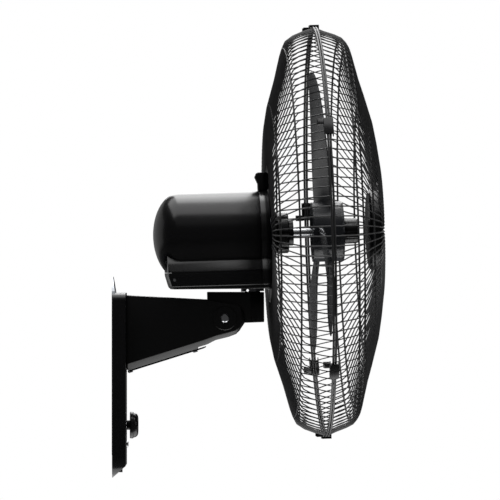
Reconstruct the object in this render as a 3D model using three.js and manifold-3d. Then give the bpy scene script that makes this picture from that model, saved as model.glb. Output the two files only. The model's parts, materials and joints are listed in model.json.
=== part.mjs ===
// Wall mounted fan: a control box on a wall plate, a hollow arm, a tilting neck, a swinging motor head and a
// three-bladed rotor inside a wire cage.
// Millimetres. The wall is the plane Y = 0, +Z is up and the fan blows towards -Y, which is called forward.
// The origin is on the wall, at the middle height of the wall plate.

import * as THREE from 'three';
import { mergeVertices } from 'three/addons/utils/BufferGeometryUtils.js';
import Module from 'manifold-3d';

const wasm = await Module();
wasm.setup();

// ---------------------------------------------------------------- driving dimensions

const FIT_GAP = 0.3; // between pieces that seat or turn on each other
const THREAD_GAP = 0.3; // between a screw and its hole

// Pose of the head in its resting place, in degrees
const HEAD_TILT = 1.76; // front raised
const HEAD_SWING = 3.3; // turned from the middle of its sweep

// Control box and wall plate
const BOX_WIDTH = 120;
const BOX_DEPTH = 16.7;
const BOX_TOP = 102;
const BOX_BOTTOM = -121.5;
const BOX_WALL = 2.5;
const BOX_END_SLANT = 14.6; // the lower end rises by this much from back to front
const BOX_TOP_RADIUS = 10;
const BOX_BOTTOM_RADIUS = 27;
const PLATE_TOP = 121.5;
const PLATE_THICKNESS = 4;
const PLATE_EDGE = 1; // thickness left at the tapered top edge
const PLATE_TOP_RADIUS = 34;
const PLATE_HOLE_RADIUS = 2.6;
const PLATE_HOLE_SPACING = 70;

// Arm
const ARM_WIDTH = 62;
const ARM_WALL = 2.8;
const ARM_CHAMFER = 8.5;
const ARM_ROOT_TOP = 99.5;
const ARM_ROOT_BOTTOM = 7.9;
const ARM_NECK_TOP = 94.1; // top edge where the cheeks begin to show
const ARM_NECK_FORWARD = 114.7;
const ARM_TIP_FORWARD = 162;
const ARM_BULKHEAD_FORWARD = 104; // end of the hollow, start of the slot between the cheeks
const ARM_COVER_THICKNESS = 1.6;
const ARM_COVER_WIDTH = 40;
const ARM_COVER_FRONT = 113.5;

// Tilt pivot
const PIVOT_FORWARD = 136.5;
const PIVOT_HEIGHT = 71.6;
const PIVOT_PAD_RADIUS = 14.5;
const PIVOT_PAD_RISE = 1.5;
const TILT_BOLT_RADIUS = 4;
const TILT_HEAD_RADIUS = 5.1;
const TILT_HEAD_THICKNESS = 2.6;
const TILT_WASHER_THICKNESS = 1.2;
const TILT_WASHER_RADIUS = 11;
const TILT_NUT_RADIUS = 7.5;
const TILT_NUT_THICKNESS = 6;

// Neck, measured from the tilt pivot
const NECK_WIDTH = ARM_WIDTH - 18;
const NECK_SHOULDER = 3; // the neck's sides end this far behind the swivel axis
const NECK_REAR = -20.8;
const NECK_NOSE_RADIUS = 14; // round the swivel axis, so that the cage clears it as it swings
const NECK_TOP_REAR = 32.3;
const NECK_TOP_FRONT = 30.1;
const NECK_BOTTOM = -6.4;
const NECK_BARREL_RADIUS = 15;
const NUT_POCKET_RADIUS = 12;
const NUT_POCKET_TOP = 2.3;

// Swivel: the head turns about this axis
const SPINDLE_FORWARD = 34.5; // from the tilt pivot
const FAN_AXIS_HEIGHT = 101; // fan axis above the tilt pivot
const SPINDLE_COLLAR_RADIUS = 14;
const SPINDLE_FOOT_RADIUS = 9;
const SPINDLE_THREAD_RADIUS = 6;
const SPINDLE_PIN_RADIUS = 7;
const SPINDLE_TIP_RADIUS = 5.5;
const SPINDLE_CROSS_HOLE_RADIUS = 1.6;
const SPINDLE_CROSS_HOLE_BACK = 6; // behind the swivel axis

// Motor housing, measured forward from the swivel axis and up from the fan axis
const HOUSING_RADIUS = 52;
const HOUSING_WALL = 2.5;
const DOME_REAR = -118.7;
const DOME_LENGTH = 32;
const SKIRT_REAR = -104;
const SKIRT_HALF_WIDTH = 50;
const SKIRT_LEDGE_TOP = -30;
const SKIRT_LEDGE_BOTTOM = -43.8;
const SKIRT_BOTTOM_REAR = -64.2;
const SKIRT_BOTTOM_FRONT = -66.8;
const SKIRT_CORNER = 4.5; // radius of the skirt's rear corners, seen from above
const SKIRT_STEP = 1.5; // the lowest strip of the sides stands in by this much
const COVER_SPLIT = -44.4; // the upper cover meets the base cover at this height
const SHROUD_REAR = 10.5;
const SHROUD_FRONT = 21.5;
const LUG_TOP = 74.4;
const LUG_REAR = 6.5;
const LUG_FRONT = 23;
const LUG_THICKNESS = 14;
const SADDLE_REAR = -0.5;
const SADDLE_SWEEP = 5; // the saddle's rear edge runs forward by this much on its way down
const SADDLE_HALF_ANGLE = 38;
const VENT_COUNT = 18;
const VENT_INNER_RADIUS = 14;
const VENT_OUTER_RADIUS = 35;
const VENT_WIDTH = 2.4;
const COVER_SCREW_REAR = 7.2; // in front of the skirt's rear face
const COVER_SCREW_HEIGHT = -53.2;
const COVER_SCREW_RADIUS = 1.2;
const COVER_SCREW_HEAD_RADIUS = 2.1;

// Motor
const SHAFT_RADIUS = 4.5;
const SHAFT_REAR = -92;
const STATOR_RADIUS = 44;
const STATOR_REAR = -46;
const STATOR_FRONT = -22;
const AIR_GAP = 0.6;
const ROTOR_CORE_RADIUS = 24;
const WINDING_INNER_RADIUS = 28;
const WINDING_OUTER_RADIUS = 40;
const WINDING_LENGTH = 13;
const BELL_WALL = 2.7;
const FRONT_BELL_FACE = 15.5;
const REAR_BELL_FACE = -66;
const BELL_JOINT = -34;
const BELL_END = 3; // thickness of a bell's end wall
const NOSE_RADIUS = 13;
const NOSE_FRONT = 49;
const SHOULDER_RADIUS = 20; // the grille pan is clamped against this shoulder's front face
const SHOULDER_FRONT = 28.6;
const BEARING_RADIUS = 9.7;
const BEARING_LENGTH = 10;
const SWIVEL_BOSS_RADIUS = 14.5;
const SWIVEL_BOSS_BOTTOM = -54.5;

// Sweep gearbox
const WORM_RADIUS = 5.2;
const WORM_LENGTH = 14;
const WHEEL_FORWARD = -81;
const WHEEL_RADIUS = 11.7;
const WHEEL_THICKNESS = 7;
const WHEEL_TEETH = 20;
const WHEEL_SHAFT_RADIUS = 2.5;
const PINION_TEETH = 8;
const GEAR_TEETH = 36;
const GEAR_FORWARD = -62;
const GEAR_TOP = -50.6;
const GEAR_THICKNESS = 3.7;
const GEAR_AXLE_RADIUS = 4;
const TOOTH_DEPTH = 2;
const CASE_WALL = 2.5;
const CASE_REAR = -96.2;
const CASE_TOP = 12;
const CASE_FOOT_THICKNESS = 2.8;
const CASE_FOOT_FRONT = -38;
const CRANK_RADIUS = 14.5;
const CRANK_PIN_RADIUS = 2.5;
const CRANK_RATIO = -2.25; // gear turn for each turn of the head
const LINK_THICKNESS = 3.4;
const LINK_HALF_WIDTH = 3;
const LINK_BEND = 7; // the bar steps round the spindle by this much
const LINK_EYE_RADIUS = 4.6;
const ANCHOR_RADIUS = 22.6;
const ANCHOR_END_RADIUS = 3.4;
const ANCHOR_THICKNESS = 3.2;

// Cage
const RIM_FORWARD = 84.1; // parting plane of the two grilles, from the swivel axis
const RIM_RADIUS = 247.3;
const RIM_THICKNESS = 4;
const RIM_HALF_WIDTH = 2.7; // each grille's rim reaches this far from the parting plane
const SHOULDER_RING = RIM_RADIUS - 22.5; // middle of the ring where each grille turns from its side to its face
const WIRE_COUNT = 30;
const WIRE_THICKNESS = 2.2;
const PAN_RADIUS = 83.6; // pressed pan in the middle of the rear grille
const PAN_DISC_REAR = 23.6;
const PAN_BOSS_RADIUS = 27;
const PAN_SHEET = 1.5;
const PAN_LIP = 4.4;
const GRILLE_NUT_RADIUS = 25;
const GRILLE_NUT_LENGTH = 14.6;
const GRILLE_NUT_LOBES = 8;
const GRILLE_NUT_CAP_RADIUS = 15.7;
const GRILLE_NUT_CAP_LENGTH = 6;
const CUP_RADIUS = 48.5;
const CUP_FLANGE_RADIUS = 58;
const CUP_DEPTH = 13.4;
const CUP_DOME = 2.5;
const CUP_WALL = 2;
const BADGE_THICKNESS = 1.4;
const CLIP_ANGLES = [0, -60, -132, 180, 132, 84]; // from the top, positive away towards +X, between wires
const CLIP_LENGTH = 22;
const CLIP_WALL = 1.3;
const CLIP_TOP = 2.5;
const CLIP_RIM_GAP = 1; // room for the clip to swing round the rims
const CLIP_LEG = 8;
const CLIP_TAB_LENGTH = 8;
const CLIP_TAB_WIDTH = 7;

// Rotor
const BLADE_COUNT = 3;
const BLADE_THICKNESS = 2.2;
const HUB_RADIUS = 36.4;
const HUB_REAR = -10; // from the parting plane of the grilles
const HUB_FRONT = 28;
const HUB_WALL = 3;
const HUB_BOSS_RADIUS = 11;
const SPINNER_RADIUS = 15.6;
const SPINNER_LENGTH = 18.5;
const SPINNER_LOBES = 10;
const DRIVE_PIN_RADIUS = 2;
const DRIVE_PIN_LENGTH = 26;

// Speed control
const KNOB_HEIGHT = -58.3;
const KNOB_RADIUS = 16.2;
const KNOB_STEM_RADIUS = 5.8;
const KNOB_STEM_LENGTH = 4.2;
const KNOB_FLANGE = 4.4;
const KNOB_DOME = 6;
const KNOB_GRIP_RADIUS = 11;
const SWITCH_WIDTH = 30;
const SWITCH_SHAFT_RADIUS = 3;
const INLET_RADIUS = 4.2;

const degrees = THREE.MathUtils.degToRad;

// ---------------------------------------------------------------- solids

// Turns a closed geometry's faces outwards if they point in.
function facingOut(geometry) {
  const points = geometry.attributes.position;
  const index = geometry.index.array;
  const a = new THREE.Vector3();
  const b = new THREE.Vector3();
  const c = new THREE.Vector3();
  let volume = 0;
  for (let i = 0; i < index.length; i += 3) {
    a.fromBufferAttribute(points, index[i]);
    b.fromBufferAttribute(points, index[i + 1]);
    c.fromBufferAttribute(points, index[i + 2]);
    volume += a.dot(b.cross(c));
  }
  if (volume < 0) {
    for (let i = 0; i < index.length; i += 3) {
      [index[i], index[i + 1]] = [index[i + 1], index[i]];
    }
  }
  return geometry;
}

// Welds a geometry's corners, so that it is one closed skin.
function welded(geometry) {
  const bare = geometry.clone();
  bare.deleteAttribute('normal');
  bare.deleteAttribute('uv');
  return facingOut(mergeVertices(bare, 1e-4));
}

function toSolid(geometry) {
  const skin = welded(geometry);
  const mesh = new wasm.Mesh({
    numProp: 3,
    vertProperties: Float32Array.from(skin.attributes.position.array),
    triVerts: Uint32Array.from(skin.index.array),
  });
  mesh.merge();
  return new wasm.Manifold(mesh);
}

function toGeometry(solid) {
  const mesh = solid.getMesh();
  const geometry = new THREE.BufferGeometry();
  geometry.setAttribute('position', new THREE.BufferAttribute(mesh.vertProperties, 3));
  geometry.setIndex(new THREE.BufferAttribute(mesh.triVerts, 1));
  return geometry;
}

const joined = (first, ...others) =>
  toGeometry(others.reduce((sum, other) => sum.add(toSolid(other)), toSolid(first)));
const cut = (body, ...tools) =>
  toGeometry(tools.reduce((rest, tool) => rest.subtract(toSolid(tool)), toSolid(body)));
const common = (first, ...others) =>
  toGeometry(others.reduce((rest, other) => rest.intersect(toSolid(other)), toSolid(first)));

// ---------------------------------------------------------------- shapes in the fan's directions

const polygon = (points) => new THREE.Shape(points.map(([x, y]) => new THREE.Vector2(x, y)));

// A side outline, in distances forward and up, made solid across the width from -half to +half.
function acrossWidth(points, half) {
  const geometry = new THREE.ExtrudeGeometry(polygon(points), { depth: 2 * half, bevelEnabled: false });
  geometry.translate(0, 0, -half);
  const forward = new THREE.Vector3(0, -1, 0);
  const up = new THREE.Vector3(0, 0, 1);
  const across = new THREE.Vector3(-1, 0, 0);
  return geometry.applyMatrix4(new THREE.Matrix4().makeBasis(forward, up, across));
}

// A front outline, in distances across and up, made solid from rear to front.
function alongForward(shape, rear, front, curveSegments = 6) {
  const options = { depth: front - rear, bevelEnabled: false, curveSegments };
  const geometry = new THREE.ExtrudeGeometry(shape, options);
  geometry.translate(0, 0, rear);
  const across = new THREE.Vector3(1, 0, 0);
  const up = new THREE.Vector3(0, 0, 1);
  const forward = new THREE.Vector3(0, -1, 0);
  return geometry.applyMatrix4(new THREE.Matrix4().makeBasis(across, up, forward));
}

// A plan outline, in distances across and forward, made solid from bottom to top.
function upwards(shape, bottom, top, curveSegments = 6) {
  const options = { depth: top - bottom, bevelEnabled: false, curveSegments };
  const geometry = new THREE.ExtrudeGeometry(shape, options);
  geometry.translate(0, 0, bottom);
  geometry.scale(1, -1, 1);
  return facingOut(welded(geometry));
}

// A profile of [radius, distance] pairs turned round the forward axis.
function roundForward(profile, sides = 24) {
  const points = profile.map(([radius, forward]) => new THREE.Vector2(radius, forward));
  return new THREE.LatheGeometry(points, sides).rotateX(Math.PI);
}

// A profile of [radius, height] pairs turned round the vertical axis.
function roundUp(profile, sides = 20) {
  const points = profile.map(([radius, height]) => new THREE.Vector2(radius, height));
  return new THREE.LatheGeometry(points, sides).rotateX(Math.PI / 2);
}

// A profile of [radius, distance] pairs turned round the sideways axis.
function roundAcross(profile, sides = 20) {
  const points = profile.map(([radius, across]) => new THREE.Vector2(radius, across));
  return new THREE.LatheGeometry(points, sides).rotateZ(-Math.PI / 2);
}

const rod = (radius, from, to) => [[0, from], [radius, from], [radius, to], [0, to]];
const ring = (inner, outer, from, to) => [[inner, from], [outer, from], [outer, to], [inner, to], [inner, from]];

const block = (width, rear, front, bottom, top) =>
  new THREE.BoxGeometry(width, front - rear, top - bottom)
    .translate(0, -(front + rear) / 2, (top + bottom) / 2);

function roundedRectangle(left, right, bottom, top, lowerRadius, upperRadius) {
  const shape = new THREE.Shape();
  shape.moveTo(left + lowerRadius, bottom);
  shape.lineTo(right - lowerRadius, bottom);
  shape.absarc(right - lowerRadius, bottom + lowerRadius, lowerRadius, -Math.PI / 2, 0);
  shape.lineTo(right, top - upperRadius);
  shape.absarc(right - upperRadius, top - upperRadius, upperRadius, 0, Math.PI / 2);
  shape.lineTo(left + upperRadius, top);
  shape.absarc(left + upperRadius, top - upperRadius, upperRadius, Math.PI / 2, Math.PI);
  shape.lineTo(left, bottom + lowerRadius);
  shape.absarc(left + lowerRadius, bottom + lowerRadius, lowerRadius, Math.PI, 1.5 * Math.PI);
  return shape;
}

// A round outline with lobes, as on a nut that is turned by hand.
function lobedOutline(radius, lobes, depth) {
  const steps = lobes * 4;
  const points = [];
  for (let i = 0; i < steps; i++) {
    const angle = (2 * Math.PI * i) / steps;
    const reach = i % 4 < 2 ? radius : radius - depth;
    points.push([reach * Math.cos(angle), reach * Math.sin(angle)]);
  }
  return polygon(points);
}

// A toothed outline about the origin, in plan. A tooth or a gap is centred on the +across axis.
function toothedOutline(pitchRadius, teeth, toothFirst) {
  const tip = pitchRadius + TOOTH_DEPTH / 2 - FIT_GAP;
  const root = pitchRadius - TOOTH_DEPTH / 2 - FIT_GAP;
  const pitch = (2 * Math.PI) / teeth;
  const start = toothFirst ? 0 : pitch / 2;
  const corners = [[root, -0.3], [tip, -0.13], [tip, 0.13], [root, 0.3]];
  const points = [];
  for (let tooth = 0; tooth < teeth; tooth++) {
    for (const [radius, share] of corners) {
      const angle = start + pitch * (tooth + share);
      points.push([radius * Math.cos(angle), radius * Math.sin(angle)]);
    }
  }
  return polygon(points);
}

// ---------------------------------------------------------------- materials

const finish = (color, roughness, metalness) => new THREE.MeshStandardMaterial({ color, roughness, metalness });
const blackPlastic = finish('#0b0b0d', 0.32, 0);
const satinPlastic = finish('#111114', 0.5, 0);
const castMetal = finish('#8d9094', 0.45, 0.9);
const plateSteel = finish('#b9bcc0', 0.4, 1);
const blackWire = finish('#0c0c0d', 0.35, 0.3);
const brightSteel = finish('#d5d8dc', 0.2, 1);
const smokedPlastic = finish('#252a31', 0.25, 0);
const coreSteel = finish('#6f7276', 0.55, 0.9);
const copperWire = finish('#a5602f', 0.4, 0.9);
const bronze = finish('#9a7437', 0.4, 1);
const creamPlastic = finish('#d8d2bd', 0.5, 0);

const fan = new THREE.Group();
const tilting = new THREE.Group();
const swinging = new THREE.Group();
const spinning = new THREE.Group();

function piece(group, name, material, geometry, place = [0, 0, 0], turn = [0, 0, 0]) {
  const mesh = new THREE.Mesh(welded(geometry), material);
  mesh.name = name;
  mesh.position.set(...place);
  mesh.rotation.set(...turn);
  group.add(mesh);
  return mesh;
}

// ---------------------------------------------------------------- wall plate and control box

const boxInnerWidth = BOX_WIDTH - 2 * BOX_WALL;
const boxBack = FIT_GAP; // the box stands just off the wall
const boxInnerFace = BOX_DEPTH - BOX_WALL;
const plateWidth = boxInnerWidth - 2 * FIT_GAP;
const plateBottom = BOX_BOTTOM + BOX_BOTTOM_RADIUS + FIT_GAP;
const screwRadius = 2.2;
const screwHeadRadius = 4;
const boxScrewHeights = [BOX_TOP - 14, BOX_BOTTOM + BOX_BOTTOM_RADIUS + 12];
const boxScrewAcross = BOX_WIDTH / 2 - 14;

function wallPlate() {
  const outline = roundedRectangle(
    -plateWidth / 2, plateWidth / 2, plateBottom, PLATE_TOP, FIT_GAP + 3, PLATE_TOP_RADIUS);
  const profile = [
    [0, plateBottom], [PLATE_THICKNESS, plateBottom], [PLATE_THICKNESS, BOX_TOP], [PLATE_EDGE, PLATE_TOP], [0, PLATE_TOP],
  ];
  const holes = [];
  for (const side of [-1, 1]) {
    for (const height of [BOX_TOP - 34, plateBottom + 28]) {
      const hole = roundForward(rod(PLATE_HOLE_RADIUS, -1, PLATE_THICKNESS + 1), 12);
      holes.push(hole.translate((side * PLATE_HOLE_SPACING) / 2, 0, height));
    }
  }
  for (const height of boxScrewHeights) {
    const hole = roundForward(rod(screwRadius + THREAD_GAP, -1, PLATE_THICKNESS + 1), 12);
    holes.push(hole.translate(boxScrewAcross, 0, height));
  }
  return cut(common(alongForward(outline, 0, PLATE_THICKNESS), acrossWidth(profile, plateWidth)), ...holes);
}

function boxForm(inset) {
  const outline = roundedRectangle(
    -BOX_WIDTH / 2 + inset, BOX_WIDTH / 2 - inset, BOX_BOTTOM + inset, BOX_TOP - inset,
    BOX_BOTTOM_RADIUS - inset, BOX_TOP_RADIUS - inset);
  const face = BOX_DEPTH - inset;
  const back = inset ? -1 : boxBack;
  const slant = BOX_END_SLANT / (BOX_DEPTH - boxBack);
  const lower = (forward) => BOX_BOTTOM + inset * Math.hypot(1, slant) + (forward - boxBack) * slant;
  const profile = [[back, lower(back)], [face, lower(face)], [face, BOX_TOP + 1], [back, BOX_TOP + 1]];
  return common(alongForward(outline, back, face), acrossWidth(profile, BOX_WIDTH));
}

function wallBox() {
  const plateSlot = block(plateWidth + 2 * FIT_GAP, -1, PLATE_THICKNESS + FIT_GAP, BOX_TOP - 20, BOX_TOP + 1);
  const knobHole = roundForward(rod(SWITCH_SHAFT_RADIUS + FIT_GAP, 0, BOX_DEPTH + 1), 16).translate(0, 0, KNOB_HEIGHT);
  const cableWay = block(ARM_WIDTH / 2, 5, BOX_DEPTH + 1, ARM_ROOT_BOTTOM + 30, ARM_ROOT_TOP - 30);
  const inlet = roundUp(rod(INLET_RADIUS, BOX_BOTTOM - 5, BOX_BOTTOM + 25), 12).translate(0, -BOX_DEPTH / 2, 0);
  const screwHoles = boxScrewHeights.map((height) =>
    roundForward(rod(screwRadius + THREAD_GAP, 0, BOX_DEPTH + 1), 12).translate(boxScrewAcross, 0, height));
  return cut(boxForm(0), boxForm(BOX_WALL), plateSlot, knobHole, cableWay, inlet, ...screwHoles);
}

// A screw along the forward axis, its head's underside at the given distance.
function screwForward(seat, length, radius, headRadius) {
  const head = 1.8;
  const profile = [
    [0, seat - length], [radius, seat - length], [radius, seat + FIT_GAP], [headRadius, seat + FIT_GAP],
    [headRadius, seat + FIT_GAP + head * 0.6], [headRadius * 0.6, seat + FIT_GAP + head], [0, seat + FIT_GAP + head],
  ];
  return roundForward(profile, 12);
}

piece(fan, 'wall_plate', plateSteel, wallPlate());
piece(fan, 'wall_box', blackPlastic, wallBox());
['box_screw_upper', 'box_screw_lower'].forEach((name, i) => {
  const screw = screwForward(BOX_DEPTH, BOX_DEPTH - 1, screwRadius, screwHeadRadius);
  piece(fan, name, brightSteel, screw, [boxScrewAcross, 0, boxScrewHeights[i]]);
});

// ---------------------------------------------------------------- speed control and wiring pieces in the box

const knobSeat = BOX_DEPTH + FIT_GAP;
const switchFront = boxInnerFace - FIT_GAP;
const switchBack = PLATE_THICKNESS + FIT_GAP;
const knobFace = knobSeat + KNOB_STEM_LENGTH;

piece(fan, 'speed_switch', creamPlastic, cut(
  block(SWITCH_WIDTH, switchBack, switchFront, -SWITCH_WIDTH / 2, SWITCH_WIDTH / 2),
  roundForward(rod(SWITCH_SHAFT_RADIUS + FIT_GAP, switchBack + 2, switchFront + 1), 16),
), [0, 0, KNOB_HEIGHT]);

piece(fan, 'switch_shaft', brightSteel, roundForward(
  rod(SWITCH_SHAFT_RADIUS, switchBack + 2 + FIT_GAP, knobFace + KNOB_FLANGE / 2), 16,
), [0, 0, KNOB_HEIGHT]);

function speedKnob() {
  const bore = SWITCH_SHAFT_RADIUS + FIT_GAP;
  const boreEnd = knobFace + KNOB_FLANGE / 2 + FIT_GAP;
  const body = roundForward([
    [bore, knobSeat], [KNOB_STEM_RADIUS, knobSeat], [KNOB_STEM_RADIUS, knobFace], [KNOB_RADIUS, knobFace],
    [KNOB_RADIUS, knobFace + KNOB_FLANGE * 0.7], [KNOB_RADIUS - 1.5, knobFace + KNOB_FLANGE],
    [KNOB_GRIP_RADIUS, knobFace + KNOB_FLANGE + KNOB_DOME], [0, knobFace + KNOB_FLANGE + KNOB_DOME],
    [0, boreEnd], [bore, boreEnd], [bore, knobSeat],
  ], 28);
  const pointer = block(1.6, knobFace + KNOB_FLANGE + KNOB_DOME - 1, knobFace + KNOB_FLANGE + KNOB_DOME + 1, 2, KNOB_RADIUS);
  return cut(body, pointer);
}
piece(fan, 'speed_knob', blackPlastic, speedKnob(), [0, 0, KNOB_HEIGHT]);

const terminalLength = 42;
piece(fan, 'terminal_block', creamPlastic, cut(
  block(terminalLength, switchBack, switchBack + 8, -6, 6),
  ...[-15, -5, 5, 15].map((across) => block(6, switchBack + 5, switchBack + 9, -4, 4).translate(across, 0, 0)),
), [0, 0, KNOB_HEIGHT + 42]);

const inletWall = BOX_BOTTOM + ((BOX_DEPTH / 2 - boxBack) * BOX_END_SLANT) / (BOX_DEPTH - boxBack);
piece(fan, 'cord_grommet', satinPlastic, roundUp([
  [INLET_RADIUS - 1.6, -1.2], [INLET_RADIUS - FIT_GAP, -1.2], [INLET_RADIUS - FIT_GAP, 12],
  [INLET_RADIUS + 1.5, 12], [INLET_RADIUS + 1.5, 14], [INLET_RADIUS - 1.6, 14], [INLET_RADIUS - 1.6, -1.2],
], 16), [0, -BOX_DEPTH / 2, inletWall]);

// ---------------------------------------------------------------- arm

const armBack = BOX_DEPTH + FIT_GAP;
const cheekInner = NECK_WIDTH / 2 + TILT_WASHER_THICKNESS + 2 * FIT_GAP;
const armBottomSlope = (37.6 - ARM_ROOT_BOTTOM) / (ARM_COVER_FRONT - 18.8);
const armBottom = (forward) => ARM_ROOT_BOTTOM + (forward - 18.8) * armBottomSlope;
const armCoverScrews = [armBack + 5, ARM_BULKHEAD_FORWARD - 3.4];

// The arm's side outline. The lower edge is raised by lift, for the chamfered flanks.
function armOutline(inset, lift) {
  const low = lift + inset;
  return [
    [armBack - (inset ? 1 : 0), ARM_ROOT_BOTTOM + 4 + low],
    [armBack + 1.8, armBottom(armBack + 1.8) + low],
    [ARM_COVER_FRONT, armBottom(ARM_COVER_FRONT) + low],
    [PIVOT_FORWARD - 11, PIVOT_HEIGHT - 27.9 + low * 0.8],
    [PIVOT_FORWARD + 3.7, PIVOT_HEIGHT - 24.3 + low * 0.8],
    [PIVOT_FORWARD + 13.4, PIVOT_HEIGHT - 20.6 + low * 0.7],
    [PIVOT_FORWARD + 18.2, PIVOT_HEIGHT - 15.8 + low * 0.6],
    [ARM_TIP_FORWARD - low * 0.5, PIVOT_HEIGHT - 4.9],
    [ARM_TIP_FORWARD - 1 - low * 0.5, PIVOT_HEIGHT + 7],
    [ARM_TIP_FORWARD - 10, PIVOT_HEIGHT + 16],
    [ARM_NECK_FORWARD, ARM_NECK_TOP - inset],
    [armBack + 5.5, ARM_ROOT_TOP - 0.6 - inset],
    [armBack - (inset ? 1 : 0), ARM_ROOT_TOP - inset],
  ];
}

// Joins outlines at several places across the width into one closed skin.
function acrossStations(stations) {
  const corners = [];
  const index = [];
  const count = stations[0].outline.length;
  for (const { across, outline } of stations) {
    for (const [forward, up] of outline) corners.push(across, -forward, up);
  }
  for (let s = 0; s + 1 < stations.length; s++) {
    for (let i = 0; i < count; i++) {
      const a = s * count + i;
      const b = s * count + ((i + 1) % count);
      index.push(a, b, b + count, a, b + count, a + count);
    }
  }
  const flat = stations[0].outline.map(([x, y]) => new THREE.Vector2(x, y));
  const last = (stations.length - 1) * count;
  for (const [a, b, c] of THREE.ShapeUtils.triangulateShape(flat, [])) {
    index.push(a, c, b);
    index.push(last + a, last + b, last + c);
  }
  const geometry = new THREE.BufferGeometry();
  geometry.setAttribute('position', new THREE.Float32BufferAttribute(corners, 3));
  geometry.setIndex(index);
  return geometry;
}

function arm() {
  const half = ARM_WIDTH / 2;
  const body = acrossStations([
    { across: -half, outline: armOutline(0, ARM_CHAMFER) },
    { across: -half + ARM_CHAMFER, outline: armOutline(0, 0) },
    { across: half - ARM_CHAMFER, outline: armOutline(0, 0) },
    { across: half, outline: armOutline(0, ARM_CHAMFER) },
  ]);
  const inner = half - ARM_WALL;
  const hollow = common(
    acrossStations([
      { across: -inner, outline: armOutline(ARM_WALL, ARM_CHAMFER) },
      { across: -inner + ARM_CHAMFER, outline: armOutline(ARM_WALL, 0) },
      { across: inner - ARM_CHAMFER, outline: armOutline(ARM_WALL, 0) },
      { across: inner, outline: armOutline(ARM_WALL, ARM_CHAMFER) },
    ]),
    block(ARM_WIDTH, 0, ARM_BULKHEAD_FORWARD - ARM_WALL, -50, 150),
  );
  const slot = block(2 * cheekInner, ARM_BULKHEAD_FORWARD, ARM_TIP_FORWARD + 5, 0, 120);
  const hatch = block(ARM_COVER_WIDTH - 8, armBack + 8, ARM_BULKHEAD_FORWARD - ARM_WALL - 4, -20, 45);
  const pads = [-1, 1].map((side) =>
    roundAcross(rod(PIVOT_PAD_RADIUS, cheekInner, half + PIVOT_PAD_RISE), 24)
      .rotateZ(side < 0 ? Math.PI : 0).translate(0, -PIVOT_FORWARD, PIVOT_HEIGHT));
  const bore = roundAcross(rod(TILT_BOLT_RADIUS + THREAD_GAP, -half - 5, half + 5), 20)
    .translate(0, -PIVOT_FORWARD, PIVOT_HEIGHT);
  const screwHoles = armCoverScrews.map((forward) => underArm(roundUp(rod(1.8, -5, 12), 10), forward));
  return cut(joined(cut(body, hollow, slot), ...pads), hatch, bore, ...screwHoles);
}

// Sets an upright geometry square to the sloping cover, at a screw's seat.
function underArm(geometry, forward) {
  const seat = armBottom(forward) - 2 * FIT_GAP - ARM_COVER_THICKNESS;
  return geometry.rotateX(-Math.atan(armBottomSlope)).translate(0, -forward, seat);
}

function armBottomCover() {
  const top = (forward) => armBottom(forward) - FIT_GAP;
  const rear = armBack + 1.8;
  const profile = [
    [rear, top(rear)], [ARM_COVER_FRONT, top(ARM_COVER_FRONT)],
    [ARM_COVER_FRONT, top(ARM_COVER_FRONT) - ARM_COVER_THICKNESS * 0.6],
    [ARM_COVER_FRONT - 3, top(ARM_COVER_FRONT - 3) - ARM_COVER_THICKNESS],
    [rear, top(rear) - ARM_COVER_THICKNESS],
  ];
  const holes = armCoverScrews.map((forward) => underArm(roundUp(rod(1.8, -5, 12), 10), forward));
  return cut(acrossWidth(profile, ARM_COVER_WIDTH / 2), ...holes);
}

piece(fan, 'arm', satinPlastic, arm());
piece(fan, 'arm_bottom_cover', blackPlastic, armBottomCover());
['arm_cover_screw_rear', 'arm_cover_screw_front'].forEach((name, i) => {
  const profile = [[0, -1.4], [2.6, -1.4], [3.2, 0], [1.5, 0], [1.5, 7], [0, 7]];
  piece(fan, name, brightSteel, underArm(roundUp(profile, 12), armCoverScrews[i]));
});

const capacitorThickness = 14;
piece(fan, 'capacitor', blackPlastic,
  block(capacitorThickness, -19, 19, -12, 12),
  [ARM_WIDTH / 2 - ARM_WALL - FIT_GAP - capacitorThickness / 2, -60, ARM_ROOT_TOP - 38]);

// Tilt bolt, nut and friction washers
const padFace = ARM_WIDTH / 2 + PIVOT_PAD_RISE;
const pivotPlace = [0, -PIVOT_FORWARD, PIVOT_HEIGHT];
const nutFace = padFace + FIT_GAP + TILT_NUT_THICKNESS;

function tiltBolt() {
  const seat = -(padFace + FIT_GAP);
  const bolt = roundAcross([
    [0, seat - TILT_HEAD_THICKNESS], [TILT_HEAD_RADIUS - 1, seat - TILT_HEAD_THICKNESS],
    [TILT_HEAD_RADIUS, seat - TILT_HEAD_THICKNESS + 1], [TILT_HEAD_RADIUS, seat], [TILT_BOLT_RADIUS, seat],
    [TILT_BOLT_RADIUS, nutFace + 2], [0, nutFace + 2],
  ], 20);
  const slot = new THREE.BoxGeometry(2.4, 1.2, 2 * TILT_HEAD_RADIUS + 2).translate(seat - TILT_HEAD_THICKNESS, 0, 0);
  return cut(bolt, slot);
}
piece(fan, 'tilt_bolt', brightSteel, tiltBolt(), pivotPlace);
piece(fan, 'tilt_nut', brightSteel, cut(
  roundAcross(rod(TILT_NUT_RADIUS, padFace + FIT_GAP, nutFace), 6),
  roundAcross(rod(TILT_BOLT_RADIUS + THREAD_GAP, padFace, nutFace + 1), 20),
), pivotPlace);
[['tilt_washer_left', -1], ['tilt_washer_right', 1]].forEach(([name, side]) => {
  const inner = NECK_WIDTH / 2 + FIT_GAP;
  const washer = roundAcross(
    ring(TILT_BOLT_RADIUS + FIT_GAP, TILT_WASHER_RADIUS, inner, inner + TILT_WASHER_THICKNESS), 24);
  piece(fan, name, bronze, washer.rotateZ(side < 0 ? Math.PI : 0), pivotPlace);
});

// ---------------------------------------------------------------- neck, which tilts about the bolt

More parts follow.
